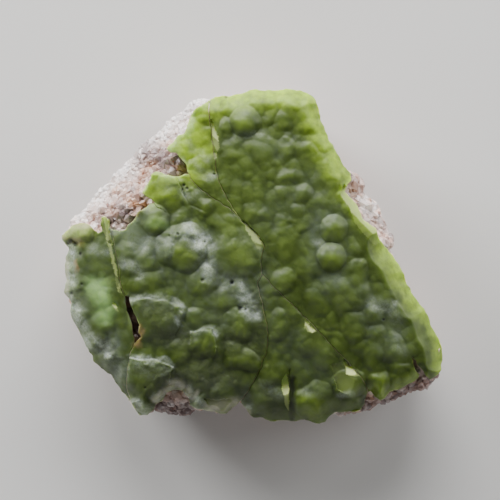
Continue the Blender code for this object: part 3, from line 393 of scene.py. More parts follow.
# Grey weathering, and painted shade on the darkest low areas
WEATHERED_AND_SHADED = [
    ([(-28, -20), (-31, -16)], 3.4, 0.8), ([(-20, -26), (-14, -24), (-8, -25)], 5, 0.85),
    ([(-19, -15), (-14, -16)], 4, 0.7), ([(-4, -17), (0.4, -17)], 4.6, 0.55),
    ([(-12, -20), (-4, -24)], 4, 0.7), ([(2.6, -26), (4.6, -31)], 3.4, 0.6),
    ([(-20, -11), (-17, -12)], 4, 0.45), ([(0.6, -7), (1.6, -14)], 1.8, 0.6),
    # The first stroke on the next line is painted shade in the groove beside the chip
    ([(7.9, -24.4), (8.1, -32.4)], 1.1, 0.9), ([(-12, 2), (-6, -6)], 3, 0.3),
]
ROUGH = [
    ([(-36.8, 3), (-36.6, -8), (-35.4, -12), (-33.6, -17)], 3, 1),
    ([(-33.6, -16.4), (-28.4, -20.4)], 2.6, 1), ([(-27, -22), (-25.4, -28)], 2.4, 0.6),
    ([(-21, -30.4), (-16, -26.8), (-11, -29), (-4, -30)], 3.2, 1.3),
    ([(-24.2, -8.4), (-16.1, -8.8), (-14, -12)], 1.6, 0.7), ([(-24, -20.4), (-16.4, -21.8)], 1.4, 0.7),
    ([(-10, -30.4), (-2, -30)], 2, 0.6), ([(0, -31.6), (14, -32.6), (20, -30.6)], 1.8, 0.5),
    ([(-14.4, 14.4), (-12.6, 13.2)], 2, 0.8), ([(-2.4, -10), (0.6, -10.6)], 2.6, 0.7),
    ([(-13.6, 4.6), (-9, 2.6)], 2.2, 0.5), ([(-37.6, 3.4), (-35, 2)], 1.6, 1),
    ([(23, 6.6), (17.6, 13.6)], 2, 0.5),
]
# Yellow green of the thin edges: partly their own hue, partly painted glow of light through them and
# painted brightening towards the lit top
YELLOW_AND_GLOW = [
    (TOP_RIM + SHOULDER_RIM, 6, 1), (RIGHT_RIM[:8], 4.2, 0.95), (RIGHT_RIM[7:15], 2.6, 0.7),
    (WEDGE_BREAK, 6, 1), ([(-11.4, 27), (-10.4, 21)], 4, 0.8), (CENTRE_BREAK[:10], 3.6, 0.7),
    (RIGHT_BREAK, 4, 0.75), ([(-34.1, 4.6), (-36, 4.6)], 3.6, 1), ([(-18, 13), (-16, 12)], 3, 0.6),
    ([(11.7, -28.6), (12.6, -31)], 3, 0.3), ([(25.1, -25.6), (26, -27.4)], 2.4, 0.5),
    (RIGHT_FOOT_RIM, 2.4, 0.5),
]
COOL_GREEN = [([(-31.0, -6.0), (-29.4, -11.0)], 3.6, 1.0), ([(-19.6, 7.0), (-17.6, 7.0)], 2.2, 0.4)]
STAINED = [
    ([(-35.2, -0.6), (-34.6, -2.6)], 0.9, 0.9),
    ([(-22.9, -13.4), (-22.5, -15.4), (-23.2, -17)], 1.4, 1), ([(-36.6, 3.6), (-37.6, 4.2)], 0.8, 0.5),
    ([(-36, 3.4), (-34.4, 2.8)], 1.3, 0.6), ([(-34.6, 6.6), (-32.6, 5.6)], 1, 0.45),
    ([(-22.8, 8.4), (-22.2, 9.6)], 0.8, 0.5), ([(-26.4, -26.8), (-25, -29)], 0.7, 0.5),
]
BONE = [
    ([(-8.6, -30.2), (-3.6, -29.2)], 2.2, 0.8), ([(-12.2, -28.4), (-11, -27)], 0.9, 0.6),
    ([(-19.4, -28.6), (-16.6, -25.6), (-14.4, -25.2), (-12.4, -27.6)], 1.3, 0.7),
    ([(-37.6, 4.4), (-35.6, 5.6), (-33, 6.2)], 2, 0.6), ([(-34.8, 5), (-33.4, 4.6)], 2.6, 0.4),
    ([(-37.2, -0.5), (-37.4, -7.5)], 0.9, 0.5), ([(-1.6, -30.4), (-0.6, -31)], 1, 0.6),
]

# Masks of the crust that are painted in strokes alone
CRUST_MASKS = {"weathered": WEATHERED_AND_SHADED, "yellow": YELLOW_AND_GLOW, "cool": COOL_GREEN, "stained": STAINED}

# The rock's widest line, clockwise from the left tip: x, y and height. A height of None is
# right under the crust.
ROCK_RIM = [
    (-36.8, 4.6, 14), (-36.1, 7.2, 11), (-34.9, 8.2, 9.5), (-33.3, 9.2, 9), (-32.4, 11.2, 8.5),
    (-30.3, 13.8, 8), (-28.9, 15.4, 8), (-26.5, 17.4, 8), (-24.7, 19.2, 8), (-22.9, 21.2, 8),
    (-20.1, 23.6, 8.5), (-18.3, 25, 9), (-16.5, 27, 9.5), (-13.7, 29.2, 10.5), (-11.5, 31.2, 12),
    (-10.1, 31.6, 13), (-8.3, 30.9, 15), (-4.5, 30.9, None), (-0.7, 31.9, None), (3.1, 32.1, None),
    (6.5, 32.4, None), (9.5, 31.9, None), (11.6, 30.6, None), (12.3, 28, None), (13.2, 25.2, None),
    (14.7, 22, None), (16.4, 18.8, None), (18.4, 16.6, None), (19.8, 15.4, 16), (20.7, 14.6, 15),
    (21.5, 12.6, 14), (22.5, 10.8, 13.5), (24.2, 9.8, 13), (24.8, 8.2, 13), (25.3, 6.8, 13),
    (26.2, 4.8, 13), (27.2, 3.4, 13), (26.9, 1.4, None), (27.6, -0.8, None), (28.8, -3.2, None),
    (30.6, -7, None), (32.4, -10, None), (34.2, -12.8, None), (35.6, -15.8, None), (36.8, -18.6, None),
    (37, -21, None), (36.6, -23.2, None), (35.6, -25, 12), (34.1, -26.3, 11), (31.7, -26.7, 11),
    (29.9, -27.5, 11), (28, -28.6, 11), (25.3, -29.2, 11), (24, -30.2, 11), (22.2, -30.6, 11),
    (20, -31.1, 11.5), (18.3, -31.3, 12), (16, -30.4, None), (13.4, -32.2, None), (9.5, -31.6, None),
    (5.5, -31.7, None), (2, -31, None), (-1, -29.6, None), (-3, -28.6, None), (-5.8, -30.2, None),
    (-9, -29.8, None), (-11.4, -30, 12), (-12.7, -30.6, 11.5), (-14.1, -31, 11), (-16.1, -31, 11),
    (-18.1, -30.6, 11), (-19.6, -30.2, 12), (-21.5, -30.4, None), (-23.6, -29, None),
    (-26, -25.8, None), (-28.2, -22.6, None), (-31, -20.4, None), (-32.4, -17.4, None),
    (-33.8, -14.6, None), (-35.4, -11.6, None), (-35.6, -8.8, None), (-36.4, -6.4, None),
    (-36.4, -3, None), (-36.3, 0, None), (-36, 2.4, None),
]

# Hollows in the bare rock beside the crust: x, y, radius, depth
ROCK_HOLLOWS = [
    (-16.6, 18.6, 2.6, 1.6), (-26, 7.6, 2.4, 1.2), (-22.2, 11, 2, 1.6), (-31.2, 7.2, 1.6, 0.8),
    (-24.2, -10, 2, 2), (-23.4, -14, 2, 2),
]

# Strokes of colour on the rock: line, width, strength
IRON = [
    ([(-26, 12.4), (-24.4, 10.8)], 1.8, 0.7), ([(-24.2, 11.4), (-20.6, 10.6)], 2, 1.2),
    ([(-22.8, 9.4), (-22.4, 8)], 1, 0.9), ([(18.6, 14.2), (20.2, 12.6)], 1.6, 0.8),
    ([(-19.6, 18), (-22.6, 14.6)], 1.8, 0.75), ([(-28.4, 12), (-26, 14)], 2, 0.45),
    ([(-22, 20.2), (-20.6, 19)], 1.4, 0.4), ([(-28.6, 9.4), (-27.4, 9)], 1.4, 0.5),
    ([(-13.4, 17.4), (-15.2, 17)], 1, 0.8), ([(-32.6, 8.6), (-31, 8)], 1.4, 0.5),
    ([(-24.6, -8), (-23, -16)], 1.6, 0.6), ([(22.6, 6), (24.6, 4)], 1, 0.4),
]
# Smoky quartz, and painted shade on the rock under the crust's lower rims and in the left crack's gape
SMOKY_AND_SHADED = [
    ([(-20, 20), (-17, 18.8), (-13.4, 17.8)], 5.6, 1),
    ([(-29, 7.4), (-26.4, 8.6), (-23.8, 8.4)], 4.4, 1), ([(-19.4, -30), (-12.4, -30)], 3, 1),
    ([(23, -30), (30, -27), (36, -25)], 3, 0.8), ([(-24.6, -8), (-23, -16)], 2, 1),
    ([(-22.4, 12), (-20.8, 11.6)], 2, 0.8), ([(19.8, 14.8), (21.2, 13.2)], 1.6, 0.5),
    ([(24.6, 7.4), (26.8, 3.4)], 1.9, 0.5),
]
# White quartz, with a painted highlight along the rock's lit upper-left rim
WHITE_AND_HIGHLIGHT = [
    (ROCK_RIM[2:17], 3.4, 1), ([(-17, 26), (-12, 26)], 3, 0.7), ([(21.6, 11), (23.6, 9.2)], 2, 1),
]

# The largest crystals of the bare rock: x, y, radius, length, lean in x and y, twist
BIG_CRYSTALS = [
    (22.6, 9.9, 1.45, 2.6, 0.5, 0.3, 10), (23.9, 8.4, 1.1, 2.2, 0.7, -0.1, 35),
    (21.3, 11.6, 1, 1.9, 0.4, 0.5, 50), (20.6, 13.4, 0.9, 1.7, 0.2, 0.6, 20),
    (26.1, 3.8, 1.15, 2.2, 0.5, 0.1, 0), (25.1, 5.6, 0.95, 1.9, 0.6, 0.4, 25),
    (24.3, 7, 0.9, 1.7, 0.3, 0.2, 40), (23.2, 11, 0.7, 1.3, 0.4, 0.8, 15),
    (25, 9, 0.6, 1.1, 0.9, 0.2, 5), (-18.6, 19.4, 1.25, 2, -0.5, 0.5, 12),
    (-16.9, 18.4, 1.4, 2.1, -0.3, 0.6, 40), (-15.2, 19.2, 1.2, 2.2, -0.6, 0.2, 25),
    (-14.2, 18, 1.1, 1.8, -0.4, 0.3, 5), (-16.4, 20.6, 1, 1.7, -0.5, 0.6, 50),
    (-20.2, 18.8, 1, 1.6, -0.6, 0.4, 30), (-28.4, 7.6, 1.2, 1.9, -0.4, 0.3, 20),
    (-26.4, 8.2, 1.4, 2.1, -0.2, 0.5, 45), (-24.6, 7.6, 1.1, 1.9, -0.1, 0.3, 10),
    (-25.4, 9.9, 1.2, 1.8, -0.5, 0.5, 33), (-27.4, 10, 1.1, 1.7, -0.6, 0.3, 0),
    (-21.8, 12.4, 1, 1.6, -0.3, 0.4, 15), (-31.6, 8.2, 1, 1.6, -0.4, 0.4, 28),
    (-29.8, 9.4, 1.1, 1.7, -0.6, 0.5, 8),
]

# Colours of the crust's marks and of the quartz's
COOL = (0.34, 0.55, 0.19)
# Grey of the weathering, also used as painted shade
GREY_AND_SHADE = (0.065, 0.07, 0.05)
PALE_CHIP = (0.76, 0.88, 0.34)
BONE_WHITE = (0.62, 0.60, 0.45)
RUST = (0.30, 0.19, 0.09)
DARK_SPECK = (0.05, 0.05, 0.04)
PIT_BLACK = (0.012, 0.010, 0.010)
ORANGE_PINK = (0.80, 0.44, 0.30)
MILKY = (0.88, 0.84, 0.83)
GLASSY = (0.36, 0.27, 0.26)
# White of clean quartz, also used as the painted highlight on the lit rim
SNOWY_AND_HIGHLIGHT = (0.97, 0.94, 0.92)
BARE_BROWN = (0.24, 0.15, 0.11)
SKY = (0.85, 0.88, 0.92)
SKY_STRENGTH = 0.02

# The templates of the grains and of the largest crystals: name, number of sides, and rings of
# height, radius and turn in degrees
GRAIN_SHAPES = [
    ("pointed", 6, [(-0.7, 0.9, 0), (0.3, 1, 0), (1.0, 0, 0)]),
    ("blunt", 6, [(-0.7, 0.9, 0), (0.25, 1, 5), (0.8, 0.4, 12)]),
    ("block", 5, [(-0.7, 1, 0), (0.45, 0.95, 10), (0.75, 0.55, 20)]),
    ("wedge", 3, [(-0.7, 1.2, 0), (0.35, 1.15, 10), (0.8, 0.5, 20)]),
]
CRYSTAL_SHAPE = ("crystal", 6, [(-0.6, 0.95, 0), (0.45, 1, 3), (0.85, 0.45, 10), (1.0, 0.12, 25)])
GRAIN_TILT = 0.7
GRAIN_DENSITY = 4.0

# Soft lights: name, setting and share of its power, place and size in metres
LIGHTS = [
    ("key light", "key", 1, (0, 0.7, 0.3), 0.6),
    ("left light", "side", 2, (-0.5, 0.42, 0.26), 0.3),
    ("right light", "side", 0.8, (0.55, 0.25, 0.22), 0.35),
    ("front light", "front", 1, (0, -0.55, 0.4), 0.5),
    ("fill light", "fill", 1, (0, 0, 1.3), 0.9),
]
AIM = (0, 0, 0.015)

# The camera's view, from straight above
VIEW_X, VIEW_Y = -0.5, 1.4
VIEW_LEVEL = 18.0
VIEW_DISTANCE = 800.0
VIEW_WIDTH = 100.0
SENSOR_WIDTH = 36.0


class CrustSettings(bpy.types.PropertyGroup):
    """Sizes and colours of the crust."""

    mesh_step: FloatProperty(
        name="Mesh step", description="Spacing of the surface's points", default=0.000175, unit="LENGTH")
    half_crack: FloatProperty(
        name="Half crack", description="Half the width of a closed crack", default=0.000045, unit="LENGTH")
    grain: FloatProperty(
        name="Grain", description="Height of the surface's finest texture", default=0.000014, unit="LENGTH")
    deep: FloatVectorProperty(
        name="Deep green", description="Colour of thick, clear crust", default=(0.036, 0.057, 0.008),
        subtype="COLOR", min=0, max=1)
    light: FloatVectorProperty(
        name="Light green", description="Colour of milky crust", default=(0.092, 0.136, 0.024),
        subtype="COLOR", min=0, max=1)
    # Yellow green of thin edges, used also as their painted glow
    yellow: FloatVectorProperty(
        name="Yellow green", description="Colour of thin edges", default=(0.43, 0.64, 0.030),
        subtype="COLOR", min=0, max=1)
    # A brighter clear green: the painted glow of light shining through the lumps
    clear: FloatVectorProperty(
        name="Clear green", description="Colour in the middle of a lump", default=(0.190, 0.275, 0.045),
        subtype="COLOR", min=0, max=1)
    # Grey-green of the cloudy crust, also used as painted sheen on the lumps' upper sides
    mist_and_sheen: FloatVectorProperty(
        name="Mist", description="Colour of the cloudy valleys", default=(0.150, 0.185, 0.135),
        subtype="COLOR", min=0, max=1)
    # White bloom, and the painted sheen and highlights that share its colour
    frost: FloatVectorProperty(
        name="Frost", description="Colour of the white bloom", default=(0.58, 0.65, 0.57),
        subtype="COLOR", min=0, max=1)


class RockSettings(bpy.types.PropertyGroup):
    """Sizes and colours of the quartz rock."""

    mesh_step: FloatProperty(
        name="Mesh step", description="Spacing of the rock's points", default=0.00036, unit="LENGTH")
    grain_radius: FloatProperty(
        name="Grain radius", description="Mean radius of a quartz grain", default=0.00086, unit="LENGTH")
    grain_spacing: FloatProperty(
        name="Grain spacing", description="Least distance between grains", default=0.00084, unit="LENGTH")
    seed: IntProperty(name="Seed", description="Chance arrangement of the grains", default=3)
    quartz: FloatVectorProperty(
        name="Quartz", description="Colour of clean quartz", default=(0.95, 0.77, 0.71),
        subtype="COLOR", min=0, max=1)
    # Grey quartz, also used as painted shade under the crust
    smoky: FloatVectorProperty(
        name="Smoky quartz", description="Colour of the grey quartz", default=(0.15, 0.10, 0.10),
        subtype="COLOR", min=0, max=1)
    iron: FloatVectorProperty(
        name="Iron stain", description="Colour of the rusty stains", default=(0.40, 0.19, 0.08),
        subtype="COLOR", min=0, max=1)


class StudioSettings(bpy.types.PropertyGroup):
    """Floor and lights."""

    floor: FloatVectorProperty(
        name="Floor", description="Colour of the floor", default=(0.78, 0.77, 0.75),
        subtype="COLOR", min=0, max=1)
    key: FloatProperty(
        name="Key light", description="Power of the main light", default=11.0, unit="POWER")
    side: FloatProperty(
        name="Side lights", description="Power of a side light", default=2.8, unit="POWER")
    front: FloatProperty(
        name="Front light", description="Power of the low front light", default=0.8, unit="POWER")
    fill: FloatProperty(
        name="Fill light", description="Power of the overhead light", default=0.7, unit="POWER")


# Plane geometry


def line_array(line):
    """The x and y of each point of a line, as an array."""
    return np.array([point[:2] for point in line], float)


def from_side(points, start, run):
    """How far along one side of a line each point's nearest place is, and how far away."""
    share = np.clip((points - start) @ run / max(run @ run, 1e-12), 0, 1)
    return share, np.hypot(*(points - start - share[:, None] * run).T)


def round_ring(points, ring, values):
    """Distance from each point to a ring, and the ring's own values at the nearest places."""
    corners = line_array([*ring, ring[0]])
    values = np.array([*values, values[0]], float)
    nearest = np.full(len(points), np.inf)
    found = np.zeros(len(points))
    for i in range(len(corners) - 1):
        share, away = from_side(points, corners[i], corners[i + 1] - corners[i])
        closer = away < nearest
        nearest[closer] = away[closer]
        found[closer] = values[i] + share[closer] * (values[i + 1] - values[i])
    return nearest, found


def closeness(points, line, width, closed=False):
    """1 on a line, falling evenly to 0 at the given width from it."""
    corners = line_array(line)
    if closed:
        corners = np.vstack([corners, corners[:1]])
    result = np.zeros(len(points))
    x, y = points[:, 0], points[:, 1]
    for start, end in zip(corners, corners[1:]):
        low, high = np.minimum(start, end) - width, np.maximum(start, end) + width
        close = np.nonzero((x > low[0]) & (x < high[0]) & (y > low[1]) & (y < high[1]))[0]
        away = from_side(points[close], start, end - start)[1]
        result[close] = np.maximum(result[close], 1 - away / width)
    return result


def inside(points, ring):
    """Whether each point lies inside a closed ring."""
    result = np.zeros(len(points), bool)
    x, y = points[:, 0], points[:, 1]
    for (x0, y0), (x1, y1) in zip(ring, np.roll(ring, -1, axis=0)):
        crosses = (y0 > y) != (y1 > y)
        with np.errstate(divide="ignore", invalid="ignore"):
            result ^= crosses & (x < (x1 - x0) * (y - y0) / (y1 - y0) + x0)
    return result


def anticlockwise(ring):
    """The ring in anticlockwise order."""
    following = np.roll(ring, -1, axis=0)
    area = np.sum(ring[:, 0] * following[:, 1] - following[:, 0] * ring[:, 1])
    return ring if area > 0 else ring[::-1]


def inward(ring):
    """The inward direction at each point of an anticlockwise ring, longer at its corners."""
    before = ring - np.roll(ring, 1, axis=0)
    after = np.roll(ring, -1, axis=0) - ring
    sides = [
        np.stack([-e[:, 1], e[:, 0]], 1) / np.linalg.norm(e, axis=1)[:, None] for e in (before, after)]
    middle = sides[0] + sides[1]
    middle /= np.maximum(np.linalg.norm(middle, axis=1), 0.3)[:, None]
    return middle / np.maximum(np.sum(middle * sides[0], axis=1), 0.55)[:, None]


def spaced(ring, step):
    """The ring with points added so that no side is much longer than the step."""
    points = []
    for start, end in zip(ring, np.roll(ring, -1, axis=0)):
        count = max(1, math.ceil(np.linalg.norm(end - start) / step - 0.25))
        points += [start + (end - start) * i / count for i in range(count)]
    return np.array(points)


def hexagonal_points(ring, step):
    """Evenly spaced points inside a ring, away from its sides."""
    low, high = ring.min(0), ring.max(0)
    rows = []
    for j, y in enumerate(np.arange(low[1], high[1], step * math.sqrt(3) / 2)):
        xs = np.arange(low[0] + (j % 2) * step / 2, high[0], step)
        rows.append(np.stack([xs, np.full(len(xs), y)], 1))
    points = np.vstack(rows)
    points = points[inside(points, ring)]
    return points[closeness(points, ring, step * 0.55, True) == 0]


def flat_patch(ring, step, rounds=0):
    """Points and triangles that fill a ring, and the numbers of the ring's own points."""
    sides = [(i, (i + 1) % len(ring)) for i in range(len(ring))]
    flat = [Vector(p) for p in np.vstack([ring, hexagonal_points(ring, step)])]
    found, _, faces, sources, _, _ = delaunay_2d_cdt(flat, sides, [], 1, 1e-6)
    points = np.array([(p.x, p.y) for p in found])
    triangles = np.array([list(face) for face in faces])
    place = {source: i for i, own in enumerate(sources) for source in own}
    loop = np.array([place[i] for i in range(len(ring))])
    for _ in range(rounds):
        points, triangles, loop = split_in_four(points, triangles, loop)
    return points, triangles, loop


def split_in_four(points, triangles, loop):
    """The same patch with a new point in the middle of every side."""
    sides = np.sort(triangles[:, [0, 1, 1, 2, 2, 0]].reshape(-1, 2), axis=1)
    unique, which = np.unique(sides, axis=0, return_inverse=True)
    ab, bc, ca = (len(points) + which.reshape(-1, 3)).T
    a, b, c = triangles.T
    split = [np.stack(t, 1) for t in ((a, ab, ca), (ab, b, bc), (ca, bc, c), (ab, bc, ca))]
    keys = unique[:, 0] * len(points) + unique[:, 1]
    around = np.sort(np.stack([loop, np.roll(loop, -1)], 1), axis=1)
    between = len(points) + np.searchsorted(keys, around[:, 0] * len(points) + around[:, 1])
    grown = np.vstack([points, points[unique].mean(1)])
    return grown, np.vstack(split), np.stack([loop, between], 1).reshape(-1)


def smooth_noise(points, size, seed):
    """Chance values from -1 to 1 that change smoothly over the given size."""
    table = np.random.default_rng(seed).uniform(-1, 1, NOISE_TABLE)
    scaled = points / size + seed * 7.31
    cell = np.floor(scaled).astype(int)
    part = scaled - cell
    part = part * part * (3 - 2 * part)
    total = np.zeros(len(points))
    steps = CELL_STEPS[: points.shape[1]]
    for corner in np.ndindex(*(2,) * points.shape[1]):
        weight = np.prod(np.where(corner, part, 1 - part), axis=1)
        total += weight * table[((cell + corner) * steps).sum(1) * 31 % NOISE_TABLE]
    return total


def relief(points, layers):
    """The sum of several layers of smooth noise: size, height, seed."""
    return sum(height * smooth_noise(points, size, seed) for size, height, seed in layers)


def wandering(points, size, amount, seed):
    """The points moved about by smooth noise."""
    moves = [smooth_noise(points, size, seed + i) for i in range(points.shape[1])]
    return points + amount * np.stack(moves, 1)


def painted(points, strokes, ragged=0.7):
    """How strongly a table of strokes colours each place, from 0 to 1, with ragged edges."""
    points = wandering(wandering(points, 2.2, ragged, 31), 0.6, ragged * 0.4, 41)
    strength = np.zeros(len(points))
    for line, width, amount in strokes:
        strength = np.maximum(strength, amount * smoothstep(closeness(points, line, width)))
    return strength


def smoothstep(values):
    """Values clipped from 0 to 1 and eased at both ends."""
    values = np.clip(values, 0, 1)
    return values * values * (3 - 2 * values)


# The crust's surface


def dome(points):
    """Height of the low dome that the whole crust follows."""
    x, y = points[:, 0], points[:, 1]
    return CROWN_HEIGHT - BOW_ACROSS * (x - CROWN_X) ** 2 - BOW_ALONG * (y - CROWN_Y) ** 2


def general_form(points):
    """Height of the crust's surface without its lumps: the dome, turned down at its rims."""
    drop = np.zeros(len(points))
    for line, width, depth, power in TURN_DOWNS:
        drop = np.maximum(drop, depth * closeness(points, line, width) ** power)
    return dome(points) - drop


def small_lumps():
    """The table of small lumps, spread by chance over the whole crust."""
    chance = np.random.default_rng(SMALL_LUMP_SEED)
    low, high = line_array(ROCK_RIM).min(0), line_array(ROCK_RIM).max(0)
    for x in np.arange(low[0], high[0], SMALL_LUMP_SPACING):
        for y in np.arange(low[1], high[1], SMALL_LUMP_SPACING):
            dx, dy = chance.uniform(-0.45, 0.45, 2) * SMALL_LUMP_SPACING
            radius = chance.uniform(*SMALL_LUMP_RADII)
            height = chance.uniform(*SMALL_LUMP_HEIGHTS) * radius / SMALL_LUMP_RADII[1]
            yield x + dx, y + dy, radius, height, 1.5


def from_middle(points, x, y, radius):
    """Distance of each point from a middle, as a share of the radius."""
    return np.hypot(points[:, 0] - x, points[:, 1] - y) / radius


def near_middle(points, x, y, radius):
    """Numbers of the points that lie in a square round a middle."""
    return np.nonzero((abs(points[:, 0] - x) < radius) & (abs(points[:, 1] - y) < radius))[0]


def lump_height(points, lumps, blend):
    """Height of the grown lumps. A high blend keeps the valleys between them sharp."""
    total = np.zeros(len(points))
    for x, y, radius, height, roundness in lumps:
        near = near_middle(points, x, y, radius)
        away = from_middle(points[near], x, y, radius)
        total[near] += (height * np.clip(1 - away**2, 0, 1) ** roundness) ** blend
    return total ** (1 / blend)


def crown(points):
    """How strongly each place is painted with the glow of light shining through a lump's clear middle, a
    little below its top.
    """
    points = wandering(points, *GLOW_BENT)
    result = np.zeros(len(points))
    for x, y, radius, height, _ in [*SPHERES, *LUMPS, *small_lumps()]:
        near = near_middle(points, x, y, radius)
        away = np.hypot(points[near, 0] - x, points[near, 1] - y + GLOW_OFFSET * radius) / radius
        strength = min(1, 0.2 + 0.4 * height)
        result[near] = np.maximum(result[near], strength * smoothstep(1.25 - 1.2 * away))
    return result


def pits(points, reach):
    """1 in the pits, falling to 0 at their rims, with the radius of the pit."""
    for x, y, radius in PITS:
        yield radius, smoothstep(reach - from_middle(points, x, y, radius))


def crust_under(points):
    """Height of the crust's underside, where it grew on the rock. The crust thins to its rims."""
    return np.minimum(dome(points) - CRUST_THICKNESS, general_form(points) - EDGE_THICKNESS)


def crust_top(points, ring, lift, grain):
    """Height of a crust piece's top, and how pale its fresh chips are there."""
    bent = wandering(points, *BENT)
    # The broad band along the right-hand rim stays almost free of lumps
    smooth = smoothstep(closeness(bent, RIGHT_RIM[:14], 4) * 5)
    spread = [(x, y, radius * LUMP_SPREAD, rise * LUMP_RISE, sides) for x, y, radius, rise, sides in LUMPS]
    grown = wandering(wandering(bent, *GROWN_BROADLY), *GROWN_FINELY)
    lumps = np.maximum(lump_height(grown, spread, LUMP_BLEND), lump_height(bent, SPHERES, LUMP_BLEND))
    lumps = lumps + lump_height(bent, small_lumps(), SMALL_LUMP_BLEND)
    height = general_form(bent) + lumps * (1 - 0.9 * smooth)
    for line, width, rise in RIDGES:
        height += rise * smoothstep(closeness(bent, line, width))
    frayed = wandering(bent, *FRAYED)
    for line, others, rise, reach in PLATES:
        within = inside(frayed, line_array(line + others))
        away = 1 - closeness(frayed, line, reach)
        height += within * rise * smoothstep(away * reach / 0.35) * (1 - smoothstep(away))
    for radius, pit in pits(points, 1.3):
        height -= 0.8 * radius * pit
    height += painted(points, ROUGH) * relief(points, ROUGH_RELIEF)
    worn = 1 + 2.5 * painted(points, WEATHERED_AND_SHADED)
    height += grain * worn * relief(points, GRAIN_RELIEF)
    height -= EDGE_ROUNDING * closeness(points, ring, 0.3, True) ** 2
    fresh = np.zeros(len(points))
    chipped = wandering(points, *CHIPPED)
    for outline, facing, slope, depth, pale in CHIPS:
        outline = line_array(outline)
        within = np.nonzero(inside(chipped, outline))[0]
        if len(within) == 0:
            continue
        middle = outline.mean(0)
        heading = np.array([math.cos(math.radians(facing)), math.sin(math.radians(facing))])
        level = np.median(height[within]) - depth
        plane = level - math.tan(math.radians(slope)) * ((points[within] - middle) @ heading)
        cut = plane < height[within]
        height[within[cut]] = plane[cut]
        fresh[within] = np.where(cut, pale, pale * 0.35)
    return np.maximum(height + lift, crust_under(points) + THINNEST_CRUST), fresh


# The rock's surface


def bed_heights(points):
    """Height the rock has as the crust's bed, carried on level beside the crust."""
    heights = crust_under(points)
    nearest = np.full(len(points), np.inf)
    covered = np.zeros(len(points), bool)
    beside = heights.copy()
    for outline, lift in CRUST_PIECES.values():
        outline = line_array(outline)
        covered |= inside(points, outline)
        distance, level = round_ring(points, outline, crust_under(outline))
        closer = distance < nearest
        nearest[closer] = distance[closer]
        beside[closer] = level[closer]
    return np.where(covered, heights, beside), covered


def rock_top(points):
    """Height of the rock's top, and where it is bare of crust."""
    under = bed_heights(line_array(ROCK_RIM))[0]
    rim_heights = [under[i] if z is None else z for i, (x, y, z) in enumerate(ROCK_RIM)]
    distance, rim = round_ring(points, ROCK_RIM, rim_heights)
    bed, covered = bed_heights(points)
    for x, y, radius, depth in ROCK_HOLLOWS:
        bed -= depth * np.clip(1 - from_middle(points, x, y, radius)**2, 0, 1)
    bare = ~covered
    rough = bare * relief(points, BARE_RELIEF)
    slope = rim + ROCK_RISE * distance
    bare |= slope < bed - 0.5
    return np.minimum(bed, slope) + rough * np.clip(distance, 0, 1), bare


# Meshes


def joined_object(name, points, faces, material):
    """A mesh object from points in millimetres and arrays of faces."""
    mesh = bpy.data.meshes.new(name)
    faces = [face for part in faces for face in part.tolist()]
    mesh.from_pydata((points * MILLIMETRE).tolist(), [], faces)
    mesh.validate()
    mesh.materials.append(material)
    mesh.shade_smooth()
    obj = bpy.data.objects.new(name, mesh)
    bpy.context.scene.collection.objects.link(obj)
    return obj


def walls_between(rows):
    """Faces between rows of point numbers that run the same way round."""
    faces = []
    for upper, lower in zip(rows, rows[1:]):
        after_upper, after_lower = np.roll(upper, -1), np.roll(lower, -1)
        faces.append(np.stack([after_upper, upper, lower], 1))
        faces.append(np.stack([after_upper, lower, after_lower], 1))
    return faces


def closed_solid(name, top, triangles, loop, rows, plan, under_height, under_step, material):
    """A closed solid: a top surface, rows of wall points below its loop, and an underside.

    The underside is meshed on a plan, a ring that doesn't cross itself, and ends on the last row.
    """
    points = [top]
    numbers = [loop]
    count = len(top)
    for row in rows:
        points.append(row)
        numbers.append(count + np.arange(len(row)))
        count += len(row)
    flat, base_triangles, base_loop = flat_patch(plan[:, :2], under_step)
    own = np.full(len(flat), -1)
    own[base_loop] = numbers[-1]
    inner = np.nonzero(own < 0)[0]
    own[inner] = count + np.arange(len(inner))
    points.append(np.column_stack([flat[inner], under_height(flat[inner])]))
    faces = [triangles, *walls_between(numbers), own[base_triangles][:, ::-1]]
    return joined_object(name, np.vstack(points), faces, material)


def store(obj, name, values):
    """Keeps one number for each point of a mesh."""
    attribute = obj.data.attributes.new(name, "FLOAT", "POINT")
    attribute.data.foreach_set("value", np.asarray(values, np.float32))


def mesh_arrays(obj):
    """Points in millimetres and normals of a mesh, as arrays."""
    count = len(obj.data.vertices)
    points, normals = np.empty(count * 3, np.float32), np.empty(count * 3, np.float32)
    obj.data.vertices.foreach_get("co", points)
    obj.data.vertex_normals.foreach_get("vector", normals)
    return points.reshape(-1, 3) / MILLIMETRE, normals.reshape(-1, 3)


